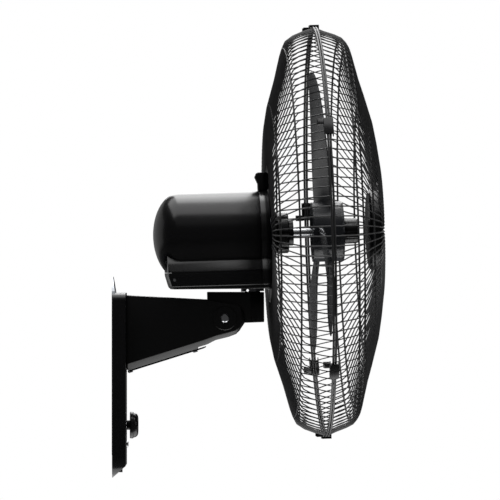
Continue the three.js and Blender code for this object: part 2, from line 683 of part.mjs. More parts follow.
tilting.position.set(...pivotPlace);
tilting.rotation.x = degrees(-HEAD_TILT);
fan.add(tilting);

const spindlePlace = [0, -SPINDLE_FORWARD, 0];
const neckFront = SPINDLE_FORWARD + NECK_NOSE_RADIUS;

function neckBracket() {
  const outline = [
    [NECK_REAR, NECK_TOP_REAR], [neckFront, NECK_TOP_FRONT], [neckFront - 1, NECK_BOTTOM], [24, NECK_BOTTOM],
  ];
  for (let angle = -20; angle >= -180; angle -= 20) {
    const turn = degrees(angle);
    outline.push([NECK_BARREL_RADIUS * Math.cos(turn), NECK_BARREL_RADIUS * Math.sin(turn)]);
  }
  outline.push([NECK_REAR, NECK_BARREL_RADIUS]);
  const bolt = roundAcross(rod(TILT_BOLT_RADIUS + FIT_GAP, -NECK_WIDTH, NECK_WIDTH), 20);
  const foot = roundUp(rod(SPINDLE_FOOT_RADIUS + FIT_GAP, -20, 50), 24).translate(...spindlePlace);
  const pocket = roundUp(rod(NUT_POCKET_RADIUS, -20, NUT_POCKET_TOP), 24).translate(...spindlePlace);
  const half = NECK_WIDTH / 2;
  const shoulder = SPINDLE_FORWARD - NECK_SHOULDER;
  const lean = Math.acos(NECK_NOSE_RADIUS / Math.hypot(half, NECK_SHOULDER)) - Math.atan2(NECK_SHOULDER, half);
  const plan = new THREE.Shape();
  plan.moveTo(-half, NECK_REAR - 1);
  plan.lineTo(half, NECK_REAR - 1);
  plan.lineTo(half, shoulder);
  plan.absarc(0, SPINDLE_FORWARD, NECK_NOSE_RADIUS, lean, Math.PI - lean);
  plan.lineTo(-half, shoulder);
  return cut(common(acrossWidth(outline.reverse(), half), upwards(plan, -50, 50, 8)), bolt, foot, pocket);
}
piece(tilting, 'neck_bracket', satinPlastic, neckBracket());

// Heights on the swivel axis, from the tilt pivot
const neckTop = NECK_TOP_REAR
  + ((NECK_TOP_FRONT - NECK_TOP_REAR) * (SPINDLE_FORWARD - SPINDLE_COLLAR_RADIUS - NECK_REAR)) / (neckFront - NECK_REAR);
const gearBottom = GEAR_TOP - GEAR_THICKNESS;
const linkTop = gearBottom - 2 * FIT_GAP;
const linkBottom = linkTop - LINK_THICKNESS;
const anchorTop = linkBottom - 1;
const anchorBottom = anchorTop - ANCHOR_THICKNESS;
const collarTop = anchorBottom - FIT_GAP + FAN_AXIS_HEIGHT;
const bossBottom = SWIVEL_BOSS_BOTTOM + FAN_AXIS_HEIGHT;

function swivelSpindle() {
  const collarBottom = neckTop + FIT_GAP;
  const body = roundUp([
    [0, NECK_BOTTOM + 0.6], [SPINDLE_THREAD_RADIUS, NECK_BOTTOM + 0.6],
    [SPINDLE_THREAD_RADIUS, NUT_POCKET_TOP], [SPINDLE_FOOT_RADIUS, NUT_POCKET_TOP],
    [SPINDLE_FOOT_RADIUS, collarBottom], [SPINDLE_COLLAR_RADIUS, collarBottom], [SPINDLE_COLLAR_RADIUS, collarTop],
    [SPINDLE_PIN_RADIUS, collarTop], [SPINDLE_PIN_RADIUS, bossBottom - FIT_GAP],
    [SPINDLE_TIP_RADIUS, bossBottom - FIT_GAP], [SPINDLE_TIP_RADIUS, bossBottom + 9], [0, bossBottom + 9],
  ], 20);
  const holeHeight = (neckTop + SKIRT_BOTTOM_FRONT + FAN_AXIS_HEIGHT) / 2;
  const hole = roundAcross(rod(SPINDLE_CROSS_HOLE_RADIUS, -20, 20), 12)
    .translate(0, SPINDLE_CROSS_HOLE_BACK, holeHeight);
  return cut(body, hole);
}
piece(tilting, 'swivel_spindle', castMetal, swivelSpindle(), spindlePlace);

const washerTop = NUT_POCKET_TOP - FIT_GAP;
piece(tilting, 'spindle_washer', brightSteel,
  roundUp(ring(SPINDLE_THREAD_RADIUS + THREAD_GAP, NUT_POCKET_RADIUS - 2 * FIT_GAP, washerTop - 1.4, washerTop), 24),
  spindlePlace);
piece(tilting, 'spindle_nut', brightSteel, cut(
  roundUp(rod(10.4, NECK_BOTTOM + 1, washerTop - 1.4 - FIT_GAP), 6),
  roundUp(rod(SPINDLE_THREAD_RADIUS + THREAD_GAP, NECK_BOTTOM, washerTop), 24),
), spindlePlace);

// A flat bar with a round eye at each end, drawn in plan from the origin forwards.
function barOutline(length, halfWidth, firstRadius, lastRadius) {
  const shape = new THREE.Shape();
  const first = Math.asin(halfWidth / firstRadius);
  const last = Math.asin(halfWidth / lastRadius);
  shape.absarc(0, 0, firstRadius, Math.PI / 2 + first, 2.5 * Math.PI - first);
  shape.absarc(0, length, lastRadius, -Math.PI / 2 + last, 1.5 * Math.PI - last);
  return shape;
}

function linkAnchor() {
  const hub = SPINDLE_PIN_RADIUS + 5;
  const bar = upwards(barOutline(ANCHOR_RADIUS, ANCHOR_END_RADIUS - 0.2, hub, ANCHOR_END_RADIUS), anchorBottom, anchorTop);
  const stud = roundUp(rod(2.4, anchorTop - 1, linkBottom - FIT_GAP), 12).translate(0, -ANCHOR_RADIUS, 0);
  const bore = roundUp(rod(SPINDLE_PIN_RADIUS + FIT_GAP, anchorBottom - 1, anchorTop + 2), 24);
  return cut(joined(bar, stud), bore).rotateZ(Math.PI / 2);
}
piece(tilting, 'link_anchor', plateSteel, linkAnchor(), [0, -SPINDLE_FORWARD, FAN_AXIS_HEIGHT]);

// ---------------------------------------------------------------- motor housing, which swings about the spindle

swinging.position.set(0, -SPINDLE_FORWARD, FAN_AXIS_HEIGHT);
swinging.rotation.z = degrees(HEAD_SWING);
tilting.add(swinging);

const skirtSlope = (SKIRT_BOTTOM_FRONT - SKIRT_BOTTOM_REAR) / (SHROUD_FRONT - SKIRT_REAR);
const skirtBottom = (forward) => SKIRT_BOTTOM_REAR + (forward - SKIRT_REAR) * skirtSlope;

// The skirt's section, in distances across and up: a ledge that slopes out of the round housing, flat sides, and a
// stepped lip along the bottom.
function skirtSection(inset) {
  const wide = SKIRT_HALF_WIDTH - inset;
  const low = SKIRT_BOTTOM_FRONT + inset;
  const ledge = Math.sqrt(HOUSING_RADIUS ** 2 - SKIRT_LEDGE_TOP ** 2) - inset;
  const right = [
    [HOUSING_RADIUS * 0.7, SKIRT_LEDGE_TOP + 6 - inset], [ledge, SKIRT_LEDGE_TOP - inset * 0.3],
    [wide, SKIRT_LEDGE_BOTTOM - inset * 0.3], [wide, low + 6], [wide - SKIRT_STEP, low + 5],
    [wide - SKIRT_STEP, low + 2], [wide - SKIRT_STEP - 2, low],
  ];
  const left = right.map(([across, up]) => [-across, up]).reverse();
  return polygon([...right, ...left].reverse());
}

function skirtForm(inset, front) {
  const section = alongForward(skirtSection(inset), SKIRT_REAR, front + 1);
  const rear = SKIRT_REAR + inset;
  const side = acrossWidth([
    [rear, SKIRT_LEDGE_BOTTOM - 3], [rear + 4, skirtBottom(rear) + 4 + inset],
    [rear + 7, skirtBottom(rear + 7) + inset], [front, skirtBottom(front) + inset], [front, 0], [rear, 0],
  ], SKIRT_HALF_WIDTH + 1);
  const corner = SKIRT_CORNER - inset;
  const plan = new THREE.Shape();
  const wide = SKIRT_HALF_WIDTH - inset;
  plan.moveTo(-wide, front);
  plan.lineTo(-wide, rear + corner);
  plan.absarc(-wide + corner, rear + corner, corner, Math.PI, 1.5 * Math.PI);
  plan.lineTo(wide - corner, rear);
  plan.absarc(wide - corner, rear + corner, corner, 1.5 * Math.PI, 2 * Math.PI);
  plan.lineTo(wide, front);
  return common(section, side, upwards(plan, -90, 20));
}

function domeForm(inset, front) {
  const radius = HOUSING_RADIUS - inset;
  const rear = DOME_REAR + inset;
  const profile = [];
  for (let step = 0; step <= 6; step++) {
    const turn = (Math.PI / 2) * (step / 6);
    profile.push([radius * Math.sin(turn), rear + DOME_LENGTH * (1 - Math.cos(turn))]);
  }
  profile.push([radius, front], [0, front]);
  return roundForward(profile, 32);
}

const housingForm = (inset, front) => joined(domeForm(inset, front), skirtForm(inset, front));
const coverFront = SHROUD_REAR - FIT_GAP;
const housingShell = cut(housingForm(0, coverFront), housingForm(HOUSING_WALL, coverFront + 1));
const aboveSplit = block(200, -200, 100, COVER_SPLIT + FIT_GAP / 2, 100);
const belowSplit = block(200, -200, 100, -100, COVER_SPLIT - FIT_GAP / 2);

function motorCover() {
  const vents = [];
  for (let i = 0; i < VENT_COUNT; i++) {
    const turn = (2 * Math.PI * (i + 0.5)) / VENT_COUNT;
    const slot = new THREE.BoxGeometry(VENT_WIDTH, 30, VENT_OUTER_RADIUS - VENT_INNER_RADIUS)
      .translate(0, -DOME_REAR, (VENT_OUTER_RADIUS + VENT_INNER_RADIUS) / 2);
    vents.push(slot.rotateY(turn));
  }
  return cut(common(housingShell, aboveSplit), ...vents);
}

const spindleHole = roundUp(rod(SPINDLE_COLLAR_RADIUS + 1, -90, -50), 28);
const coverScrewPlace = { forward: SKIRT_REAR + COVER_SCREW_REAR, up: COVER_SCREW_HEIGHT };

function baseCover() {
  const screwHoles = roundAcross(
    rod(COVER_SCREW_RADIUS + THREAD_GAP, -SKIRT_HALF_WIDTH - 2, SKIRT_HALF_WIDTH + 2), 10)
    .translate(0, -coverScrewPlace.forward, coverScrewPlace.up);
  return cut(common(housingShell, belowSplit), spindleHole, screwHoles);
}

function frontShroud() {
  const outer = cut(housingForm(0, SHROUD_FRONT), block(200, -200, SHROUD_REAR, -100, 100));
  const inner = cut(
    housingForm(HOUSING_WALL, SHROUD_FRONT - HOUSING_WALL), block(200, -200, SHROUD_REAR - 5, -100, 100));
  const shoulder = roundForward(rod(SHOULDER_RADIUS + FIT_GAP, 0, 60), 28);
  const saddle = new THREE.Shape();
  const start = degrees(90 - SADDLE_HALF_ANGLE);
  const end = degrees(90 + SADDLE_HALF_ANGLE);
  saddle.absarc(0, 0, HOUSING_RADIUS + HOUSING_WALL, start, end);
  saddle.absarc(0, 0, HOUSING_RADIUS + 2 * FIT_GAP, end, start, true);
  const saddleFront = SHROUD_REAR + 4;
  const saddlePlan = upwards(polygon([
    [-HOUSING_RADIUS, saddleFront], [-HOUSING_RADIUS * 0.62, SADDLE_REAR + SADDLE_SWEEP],
    [-LUG_THICKNESS / 2, SADDLE_REAR], [LUG_THICKNESS / 2, SADDLE_REAR],
    [HOUSING_RADIUS * 0.62, SADDLE_REAR + SADDLE_SWEEP], [HOUSING_RADIUS, saddleFront],
  ]), 0, HOUSING_RADIUS + 10);
  const saddleBand = common(alongForward(saddle, SADDLE_REAR - 1, saddleFront, 10), saddlePlan);
  const lug = acrossWidth([
    [LUG_REAR + 3.5, HOUSING_RADIUS + 1], [LUG_FRONT - 3, HOUSING_RADIUS - 1], [LUG_FRONT, HOUSING_RADIUS + 3],
    [LUG_FRONT, LUG_TOP - 2], [LUG_FRONT - 3, LUG_TOP], [LUG_REAR + 4, LUG_TOP], [LUG_REAR, LUG_TOP - 6],
    [LUG_REAR + 3.4, LUG_TOP - 14],
  ], LUG_THICKNESS / 2);
  return joined(cut(outer, inner, shoulder, spindleHole), saddleBand, lug);
}

piece(swinging, 'motor_cover', blackPlastic, motorCover());
piece(swinging, 'base_cover', blackPlastic, baseCover());
piece(swinging, 'front_shroud', blackPlastic, frontShroud());
[['cover_screw_left', -1], ['cover_screw_right', 1]].forEach(([name, side]) => {
  const seat = SKIRT_HALF_WIDTH + FIT_GAP;
  const screw = roundAcross([
    [0, seat - 7], [COVER_SCREW_RADIUS, seat - 7], [COVER_SCREW_RADIUS, seat], [COVER_SCREW_HEAD_RADIUS, seat],
    [COVER_SCREW_HEAD_RADIUS - 0.5, seat + 1], [0, seat + 1],
  ], 12);
  piece(swinging, name, brightSteel, screw.rotateZ(side < 0 ? Math.PI : 0),
    [0, -coverScrewPlace.forward, coverScrewPlace.up]);
});

// ---------------------------------------------------------------- motor

const bellInner = STATOR_RADIUS + FIT_GAP;
const bellOuter = bellInner + BELL_WALL;
const shaftBore = SHAFT_RADIUS + FIT_GAP;
const bearingBore = BEARING_RADIUS + FIT_GAP;
const frontBearingRear = NOSE_FRONT - 2 - BEARING_LENGTH;

function frontBracket() {
  const bell = roundForward([
    [bellInner, BELL_JOINT + FIT_GAP], [bellOuter, BELL_JOINT + FIT_GAP], [bellOuter, FRONT_BELL_FACE],
    [SHOULDER_RADIUS, FRONT_BELL_FACE], [SHOULDER_RADIUS, SHOULDER_FRONT], [NOSE_RADIUS, SHOULDER_FRONT],
    [NOSE_RADIUS, NOSE_FRONT], [bearingBore, NOSE_FRONT],
    [bearingBore, frontBearingRear - FIT_GAP], [shaftBore + 1, frontBearingRear - FIT_GAP],
    [shaftBore + 1, FRONT_BELL_FACE - BELL_END], [bellInner, FRONT_BELL_FACE - BELL_END],
    [bellInner, BELL_JOINT + FIT_GAP],
  ], 28);
  const boss = roundUp(rod(SWIVEL_BOSS_RADIUS, SWIVEL_BOSS_BOTTOM, -bellInner - 1), 24);
  const bore = roundUp(rod(SPINDLE_TIP_RADIUS + FIT_GAP, SWIVEL_BOSS_BOTTOM - 1, -bellInner + 2), 20);
  const cavity = roundForward(rod(bellInner, BELL_JOINT - 1, FRONT_BELL_FACE - BELL_END), 32);
  return cut(joined(bell, cut(boss, cavity)), bore);
}

function rearBracket() {
  const hub = BEARING_RADIUS + 3;
  return roundForward([
    [bellInner, BELL_JOINT - FIT_GAP], [bellInner, REAR_BELL_FACE + BELL_END], [hub, REAR_BELL_FACE + BELL_END],
    [hub, REAR_BELL_FACE + BEARING_LENGTH + 2], [bearingBore, REAR_BELL_FACE + BEARING_LENGTH + 2],
    [bearingBore, REAR_BELL_FACE + 1], [shaftBore + 1, REAR_BELL_FACE + 1], [shaftBore + 1, REAR_BELL_FACE],
    [bellOuter, REAR_BELL_FACE], [bellOuter, BELL_JOINT - FIT_GAP], [bellInner, BELL_JOINT - FIT_GAP],
  ], 28);
}

function statorCore() {
  const bore = ROTOR_CORE_RADIUS + AIR_GAP;
  const slots = [];
  for (let i = 0; i < 8; i++) {
    const slot = block(5, STATOR_REAR - 1, STATOR_FRONT + 1, bore - 2, bore + 9);
    slots.push(slot.rotateY((2 * Math.PI * (i + 0.5)) / 8));
  }
  return cut(roundForward(ring(bore, STATOR_RADIUS, STATOR_REAR, STATOR_FRONT), 28), ...slots);
}

function winding(rear, front) {
  const soft = 2.5;
  return roundForward([
    [WINDING_INNER_RADIUS, rear], [WINDING_OUTER_RADIUS - soft, rear], [WINDING_OUTER_RADIUS, rear + soft],
    [WINDING_OUTER_RADIUS, front - soft], [WINDING_OUTER_RADIUS - soft, front], [WINDING_INNER_RADIUS, front],
    [WINDING_INNER_RADIUS, rear],
  ], 24);
}

piece(swinging, 'front_bracket', castMetal, frontBracket());
piece(swinging, 'rear_bracket', castMetal, rearBracket());
piece(swinging, 'stator_core', coreSteel, statorCore());
piece(swinging, 'winding_front', copperWire,
  winding(STATOR_FRONT + FIT_GAP, STATOR_FRONT + FIT_GAP + WINDING_LENGTH));
piece(swinging, 'winding_rear', copperWire,
  winding(STATOR_REAR - FIT_GAP - WINDING_LENGTH, STATOR_REAR - FIT_GAP));
piece(swinging, 'front_bearing', bronze,
  roundForward(ring(shaftBore, BEARING_RADIUS, frontBearingRear, frontBearingRear + BEARING_LENGTH), 20));
piece(swinging, 'rear_bearing', bronze,
  roundForward(ring(shaftBore, BEARING_RADIUS, REAR_BELL_FACE + 1 + FIT_GAP, REAR_BELL_FACE + 1 + FIT_GAP + BEARING_LENGTH), 20));

// ---------------------------------------------------------------- sweep gearbox

const wheelAcross = WORM_RADIUS + FIT_GAP + WHEEL_RADIUS;
const wheelToGear = Math.hypot(wheelAcross, WHEEL_FORWARD - GEAR_FORWARD);
const pinionPitch = (wheelToGear * PINION_TEETH) / (PINION_TEETH + GEAR_TEETH);
const gearPitch = wheelToGear - pinionPitch;
const footTop = -(bellOuter + FIT_GAP);
const footBottom = footTop - CASE_FOOT_THICKNESS;
const caseFront = REAR_BELL_FACE - FIT_GAP;
const caseLeft = -14;
const caseRight = wheelAcross + WHEEL_RADIUS + CASE_WALL + 1;
const caseMiddle = (caseLeft + caseRight) / 2;
const caseWidth = caseRight - caseLeft;
const meshAngle = Math.atan2(WHEEL_FORWARD - GEAR_FORWARD, wheelAcross); // from the gear to the pinion, in plan
const gearTurn = degrees(CRANK_RATIO * HEAD_SWING);

function gearboxCase() {
  const shell = cut(
    block(caseWidth, CASE_REAR, caseFront, footBottom, CASE_TOP).translate(caseMiddle, 0, 0),
    block(caseWidth - 2 * CASE_WALL, CASE_REAR + CASE_WALL, caseFront - CASE_WALL, footTop, CASE_TOP + 1)
      .translate(caseMiddle, 0, 0),
  );
  const foot = block(2 * SWIVEL_BOSS_RADIUS, CASE_REAR + 10, CASE_FOOT_FRONT, footBottom, footTop);
  const axle = roundUp(rod(GEAR_AXLE_RADIUS, gearBottom, footTop - 1), 20).translate(0, -GEAR_FORWARD, 0);
  const shaftHole = roundForward(rod(shaftBore + 1, caseFront - CASE_WALL - 1, caseFront + 1), 20);
  const wheelHole = roundUp(rod(WHEEL_SHAFT_RADIUS + FIT_GAP, -90, 0), 14).translate(wheelAcross, -WHEEL_FORWARD, 0);
  return cut(joined(shell, foot, axle), shaftHole, wheelHole);
}

function wormWheel() {
  const wheel = upwards(toothedOutline(WHEEL_RADIUS - TOOTH_DEPTH / 2 + FIT_GAP, WHEEL_TEETH, true),
    -WHEEL_THICKNESS / 2, WHEEL_THICKNESS / 2);
  const shaft = roundUp(rod(WHEEL_SHAFT_RADIUS, gearBottom + 0.5, CASE_TOP - FIT_GAP), 14);
  const pinion = upwards(toothedOutline(pinionPitch, PINION_TEETH, true), gearBottom, GEAR_TOP);
  return joined(wheel, shaft, pinion.rotateZ(Math.PI - meshAngle));
}

function outputGear() {
  const rim = upwards(toothedOutline(gearPitch, GEAR_TEETH, false), gearBottom, GEAR_TOP);
  const bore = roundUp(rod(GEAR_AXLE_RADIUS + FIT_GAP, gearBottom - 1, GEAR_TOP + 1), 20);
  const pin = roundUp(rod(CRANK_PIN_RADIUS, linkBottom - FIT_GAP, gearBottom + 1), 14);
  return joined(cut(rim.rotateZ(-meshAngle - gearTurn), bore), pin.translate(CRANK_RADIUS, 0, 0));
}

piece(swinging, 'gearbox_case', castMetal, gearboxCase());
piece(swinging, 'gearbox_lid', plateSteel,
  block(caseWidth, CASE_REAR, caseFront, CASE_TOP + FIT_GAP, CASE_TOP + FIT_GAP + 1.5), [caseMiddle, 0, 0]);
piece(swinging, 'worm_wheel', creamPlastic, wormWheel(), [wheelAcross, -WHEEL_FORWARD, 0]);
piece(swinging, 'output_gear', creamPlastic, outputGear(), [0, -GEAR_FORWARD, 0], [0, 0, gearTurn]);

// The bar reaches from the crank pin to a place over the anchor's stud.
const crankPlace = new THREE.Vector2(
  CRANK_RADIUS * Math.cos(gearTurn), -GEAR_FORWARD + CRANK_RADIUS * Math.sin(gearTurn));
const studPlace = new THREE.Vector2(
  ANCHOR_RADIUS * Math.cos(degrees(HEAD_SWING)), -ANCHOR_RADIUS * Math.sin(degrees(HEAD_SWING)));
const linkReach = studPlace.clone().sub(crankPlace);

function linkBar() {
  const length = linkReach.length();
  const bend = length * 0.7;
  const strip = polygon([
    [-LINK_HALF_WIDTH, 0], [LINK_HALF_WIDTH, 0], [LINK_BEND + LINK_HALF_WIDTH, bend], [LINK_HALF_WIDTH, length],
    [-LINK_HALF_WIDTH, length], [LINK_BEND - LINK_HALF_WIDTH, bend],
  ]);
  const ends = [0, length].map((forward) =>
    roundUp(rod(LINK_EYE_RADIUS, linkBottom, linkTop), 18).translate(0, -forward, 0));
  const eyes = [0, length].map((forward) =>
    roundUp(rod(CRANK_PIN_RADIUS + FIT_GAP, linkBottom - 1, linkTop + 1), 14).translate(0, -forward, 0));
  return cut(joined(upwards(strip, linkBottom, linkTop), ...ends), ...eyes);
}
piece(swinging, 'link_bar', plateSteel, linkBar(), [crankPlace.x, crankPlace.y, 0],
  [0, 0, Math.atan2(linkReach.x, -linkReach.y)]);

// ---------------------------------------------------------------- cage

// Stations of a grille's section from the rim to the middle: distance from the parting plane, radius, thickness.
// A station marked ring starts a stretch that runs all the way round.
const REAR_SECTION = [
  { out: FIT_GAP, radius: RIM_RADIUS, thick: RIM_THICKNESS, ring: true },
  { out: RIM_HALF_WIDTH, radius: RIM_RADIUS - 0.3, thick: RIM_THICKNESS },
  { out: 26, radius: SHOULDER_RING + 13.4 },
  { out: 34.3, radius: SHOULDER_RING + 7.6 },
  { out: 37.6, radius: SHOULDER_RING, ring: true },
  { out: 39.6, radius: SHOULDER_RING - 5 },
  { out: 47.7, radius: RIM_RADIUS * 0.764 },
  { out: 57.5, radius: RIM_RADIUS * 0.637, ring: true },
  { out: 58.8, radius: RIM_RADIUS * 0.637 - 4 },
  { out: 61.6, radius: RIM_RADIUS * 0.554 },
  { out: 62.4, radius: RIM_RADIUS * 0.471 },
  { out: 63, radius: PAN_RADIUS + 5.8, ring: true },
  { out: 63.1, radius: PAN_RADIUS + 0.6 },
];
const FRONT_SECTION = [
  { out: FIT_GAP, radius: RIM_RADIUS, thick: RIM_THICKNESS, ring: true },
  { out: RIM_HALF_WIDTH, radius: RIM_RADIUS - 0.3, thick: RIM_THICKNESS },
  { out: 24, radius: SHOULDER_RING + 13.4 },
  { out: 31, radius: SHOULDER_RING + 10.2, ring: true },
  { out: 33.4, radius: SHOULDER_RING + 7.8 },
  { out: 38.2, radius: SHOULDER_RING + 0.7, ring: true },
  { out: 39.8, radius: SHOULDER_RING - 4 },
  { out: 48.2, radius: RIM_RADIUS * 0.764 },
  { out: 55, radius: RIM_RADIUS * 0.677, ring: true },
  { out: 56.3, radius: RIM_RADIUS * 0.677 - 4 },
  { out: 63.9, radius: RIM_RADIUS * 0.554 },
  { out: 67.8, radius: RIM_RADIUS * 0.469 },
  { out: 72.4, radius: RIM_RADIUS * 0.348 },
  { out: 73.5, radius: CUP_FLANGE_RADIUS + 2, ring: true },
  { out: 73.7, radius: CUP_FLANGE_RADIUS - 4 },
];

// The two faces of the section, set off to both sides of its middle line.
function sectionFaces(section) {
  return section.map((station, i) => {
    const before = section[Math.max(i - 1, 0)];
    const after = section[Math.min(i + 1, section.length - 1)];
    const along = new THREE.Vector2(after.out - before.out, after.radius - before.radius).normalize();
    const half = (station.thick ?? WIRE_THICKNESS) / 2;
    const normal = new THREE.Vector2(-along.y, along.x);
    return [1, -1].map((side) => ({
      out: station.out + side * half * normal.x,
      radius: station.radius + side * half * normal.y,
    }));
  });
}

// Wires and rings as one skin. Columns go round in turn as wire and gap; a gap is only closed on a ring stretch.
function grille(section, direction) {
  const faces = sectionFaces(section);
  const columns = 2 * WIRE_COUNT;
  const corners = [];
  const corner = (station, edge, face) => (station * columns + ((edge + columns) % columns)) * 2 + face;
  for (let i = 0; i < section.length; i++) {
    const spread = Math.asin(WIRE_THICKNESS / 2 / section[i].radius);
    for (let edge = 0; edge < columns; edge++) {
      const wire = Math.floor(edge / 2) + 0.5;
      const turn = (2 * Math.PI * wire) / WIRE_COUNT + (edge % 2 ? spread : -spread);
      for (const { out, radius } of faces[i]) {
        corners.push(radius * Math.sin(turn), -(RIM_FORWARD + direction * out), radius * Math.cos(turn));
      }
    }
  }
  const index = [];
  const quad = (a, b, c, d) => index.push(a, b, c, a, c, d);
  const filled = (i, column) => i >= 0 && i + 1 < section.length
    && ((column + columns) % 2 === 0 || Boolean(section[i].ring));
  for (let i = 0; i + 1 < section.length; i++) {
    for (let column = 0; column < columns; column++) {
      if (!filled(i, column)) continue;
      const next = column + 1;
      quad(corner(i, column, 0), corner(i, next, 0), corner(i + 1, next, 0), corner(i + 1, column, 0));
      quad(corner(i, column, 1), corner(i + 1, column, 1), corner(i + 1, next, 1), corner(i, next, 1));
      if (!filled(i - 1, column)) {
        quad(corner(i, column, 0), corner(i, column, 1), corner(i, next, 1), corner(i, next, 0));
      }
      if (!filled(i + 1, column)) {
        quad(corner(i + 1, column, 0), corner(i + 1, next, 0), corner(i + 1, next, 1), corner(i + 1, column, 1));
      }
      if (!filled(i, column - 1)) {
        quad(corner(i, column, 0), corner(i + 1, column, 0), corner(i + 1, column, 1), corner(i, column, 1));
      }
      if (!filled(i, column + 1)) {
        quad(corner(i, next, 0), corner(i, next, 1), corner(i + 1, next, 1), corner(i + 1, next, 0));
      }
    }
  }
  const geometry = new THREE.BufferGeometry();
  geometry.setAttribute('position', new THREE.Float32BufferAttribute(corners, 3));
  geometry.setIndex(index);
  return geometry;
}

const rearInnerRing = REAR_SECTION[REAR_SECTION.length - 1];
const panLipRear = RIM_FORWARD - rearInnerRing.out + WIRE_THICKNESS / 2 + 2 * FIT_GAP;
const panBossRear = SHOULDER_FRONT + FIT_GAP;
const nutRear = panBossRear + PAN_SHEET + FIT_GAP;

function grillePan() {
  const inner = PAN_RADIUS - PAN_SHEET;
  const hole = NOSE_RADIUS + FIT_GAP;
  const sheet = PAN_SHEET;
  return roundForward([
    [hole, panBossRear], [PAN_BOSS_RADIUS - 1, panBossRear], [PAN_BOSS_RADIUS + 5, PAN_DISC_REAR],
    [inner, PAN_DISC_REAR], [inner, panLipRear], [PAN_RADIUS + PAN_LIP, panLipRear],
    [PAN_RADIUS + PAN_LIP, panLipRear + sheet], [PAN_RADIUS, panLipRear + sheet], [PAN_RADIUS, PAN_DISC_REAR + sheet],
    [PAN_BOSS_RADIUS + 6, PAN_DISC_REAR + sheet], [PAN_BOSS_RADIUS, panBossRear + sheet], [hole, panBossRear + sheet],
    [hole, panBossRear],
  ], 32);
}

function grilleNut() {
  const end = nutRear + GRILLE_NUT_LENGTH + GRILLE_NUT_CAP_LENGTH;
  const grip = alongForward(lobedOutline(GRILLE_NUT_RADIUS, GRILLE_NUT_LOBES, 2.5), nutRear, nutRear + GRILLE_NUT_LENGTH);
  const cap = roundForward(rod(GRILLE_NUT_CAP_RADIUS, nutRear + 2, end), 24);
  const thread = roundForward(rod(NOSE_RADIUS + FIT_GAP, nutRear - 1, NOSE_FRONT + FIT_GAP), 28);
  const shaftHole = roundForward(rod(SHAFT_RADIUS + 1, nutRear, end + 1), 20);
  return cut(joined(grip, cap), thread, shaftHole);
}

piece(swinging, 'rear_grille', blackWire, grille(REAR_SECTION, -1));
piece(swinging, 'front_grille', blackWire, grille(FRONT_SECTION, 1));
piece(swinging, 'grille_plate', satinPlastic, grillePan());
piece(swinging, 'grille_nut', blackPlastic, grilleNut());

// Badge: a blank disc within the innermost ring and a cup behind the wires
const innerRing = FRONT_SECTION[FRONT_SECTION.length - 1];
const outerRing = FRONT_SECTION[FRONT_SECTION.length - 2];
const cupFront = RIM_FORWARD + outerRing.out - WIRE_THICKNESS / 2 - FIT_GAP;
const badgeRear = cupFront + FIT_GAP;
const badgeRadius = innerRing.radius * Math.cos(Math.PI / WIRE_COUNT) - 2 * FIT_GAP;

piece(swinging, 'badge_disc', blackPlastic, roundForward([
  [0, badgeRear], [badgeRadius, badgeRear], [badgeRadius, badgeRear + BADGE_THICKNESS * 0.5],
  [badgeRadius - 2, badgeRear + BADGE_THICKNESS], [0, badgeRear + BADGE_THICKNESS + 0.8],
], 32));
piece(swinging, 'badge_cup', blackPlastic, roundForward([
  [0, cupFront - CUP_DEPTH - CUP_DOME], [CUP_RADIUS * 0.6, cupFront - CUP_DEPTH - CUP_DOME * 0.7],
  [CUP_RADIUS, cupFront - CUP_DEPTH], [CUP_RADIUS, cupFront - CUP_WALL], [CUP_FLANGE_RADIUS, cupFront - CUP_WALL],
  [CUP_FLANGE_RADIUS, cupFront], [CUP_RADIUS - CUP_WALL, cupFront],
  [CUP_RADIUS - CUP_WALL, cupFront - CUP_DEPTH + CUP_WALL], [0, cupFront - CUP_DEPTH - CUP_DOME + CUP_WALL],
], 32));

// A clip that bridges the two rim wires. Its section is drawn about the front rim wire, which it turns on.
// Halfway between two wires the rim's straight sides lie nearest to the middle.
const rimFlat = Math.cos(Math.PI / WIRE_COUNT - Math.asin(WIRE_THICKNESS / 2 / RIM_RADIUS));
const rimMiddle = (FIT_GAP + RIM_HALF_WIDTH) / 2;
const clipHinge = { forward: RIM_FORWARD + rimMiddle, radius: (RIM_RADIUS - 0.3) * rimFlat };

function rimClip() {
  const reach = RIM_THICKNESS / 2 + CLIP_RIM_GAP; // from the hinge to the clip's inner faces
  const rear = -(rimMiddle + RIM_HALF_WIDTH + 1.6 * CLIP_RIM_GAP); // past the rear rim, whose edge leans out
  const top = reach + CLIP_TOP;
  const section = [
    [reach + CLIP_WALL, top], [rear - CLIP_WALL, top], [rear - CLIP_WALL, top - CLIP_LEG], [rear, top - CLIP_LEG],
    [rear, reach], [reach, reach], [reach, top - CLIP_LEG], [reach + CLIP_WALL, top - CLIP_LEG],
  ];
  const channel = acrossWidth(section, CLIP_LENGTH / 2);
  const tab = new THREE.BoxGeometry(CLIP_TAB_WIDTH, CLIP_TAB_LENGTH + 1, CLIP_LEG * 0.6).translate(
    CLIP_LENGTH / 2 - CLIP_TAB_WIDTH / 2, -(rear - CLIP_WALL) + CLIP_TAB_LENGTH / 2 - 0.5, top - CLIP_LEG * 0.3);
  return joined(channel, tab);
}

CLIP_ANGLES.forEach((angle, i) => {
  const turn = degrees(angle);
  const place = [clipHinge.radius * Math.sin(turn), -clipHinge.forward, clipHinge.radius * Math.cos(turn)];
  piece(swinging, `rim_clip_${i + 1}`, blackPlastic, rimClip(), place, [0, turn, 0]);
});

// ---------------------------------------------------------------- rotor, which spins about the fan axis

swinging.add(spinning);

const pinForward = RIM_FORWARD + HUB_REAR + 3;
const spinnerRear = RIM_FORWARD + HUB_FRONT + FIT_GAP;

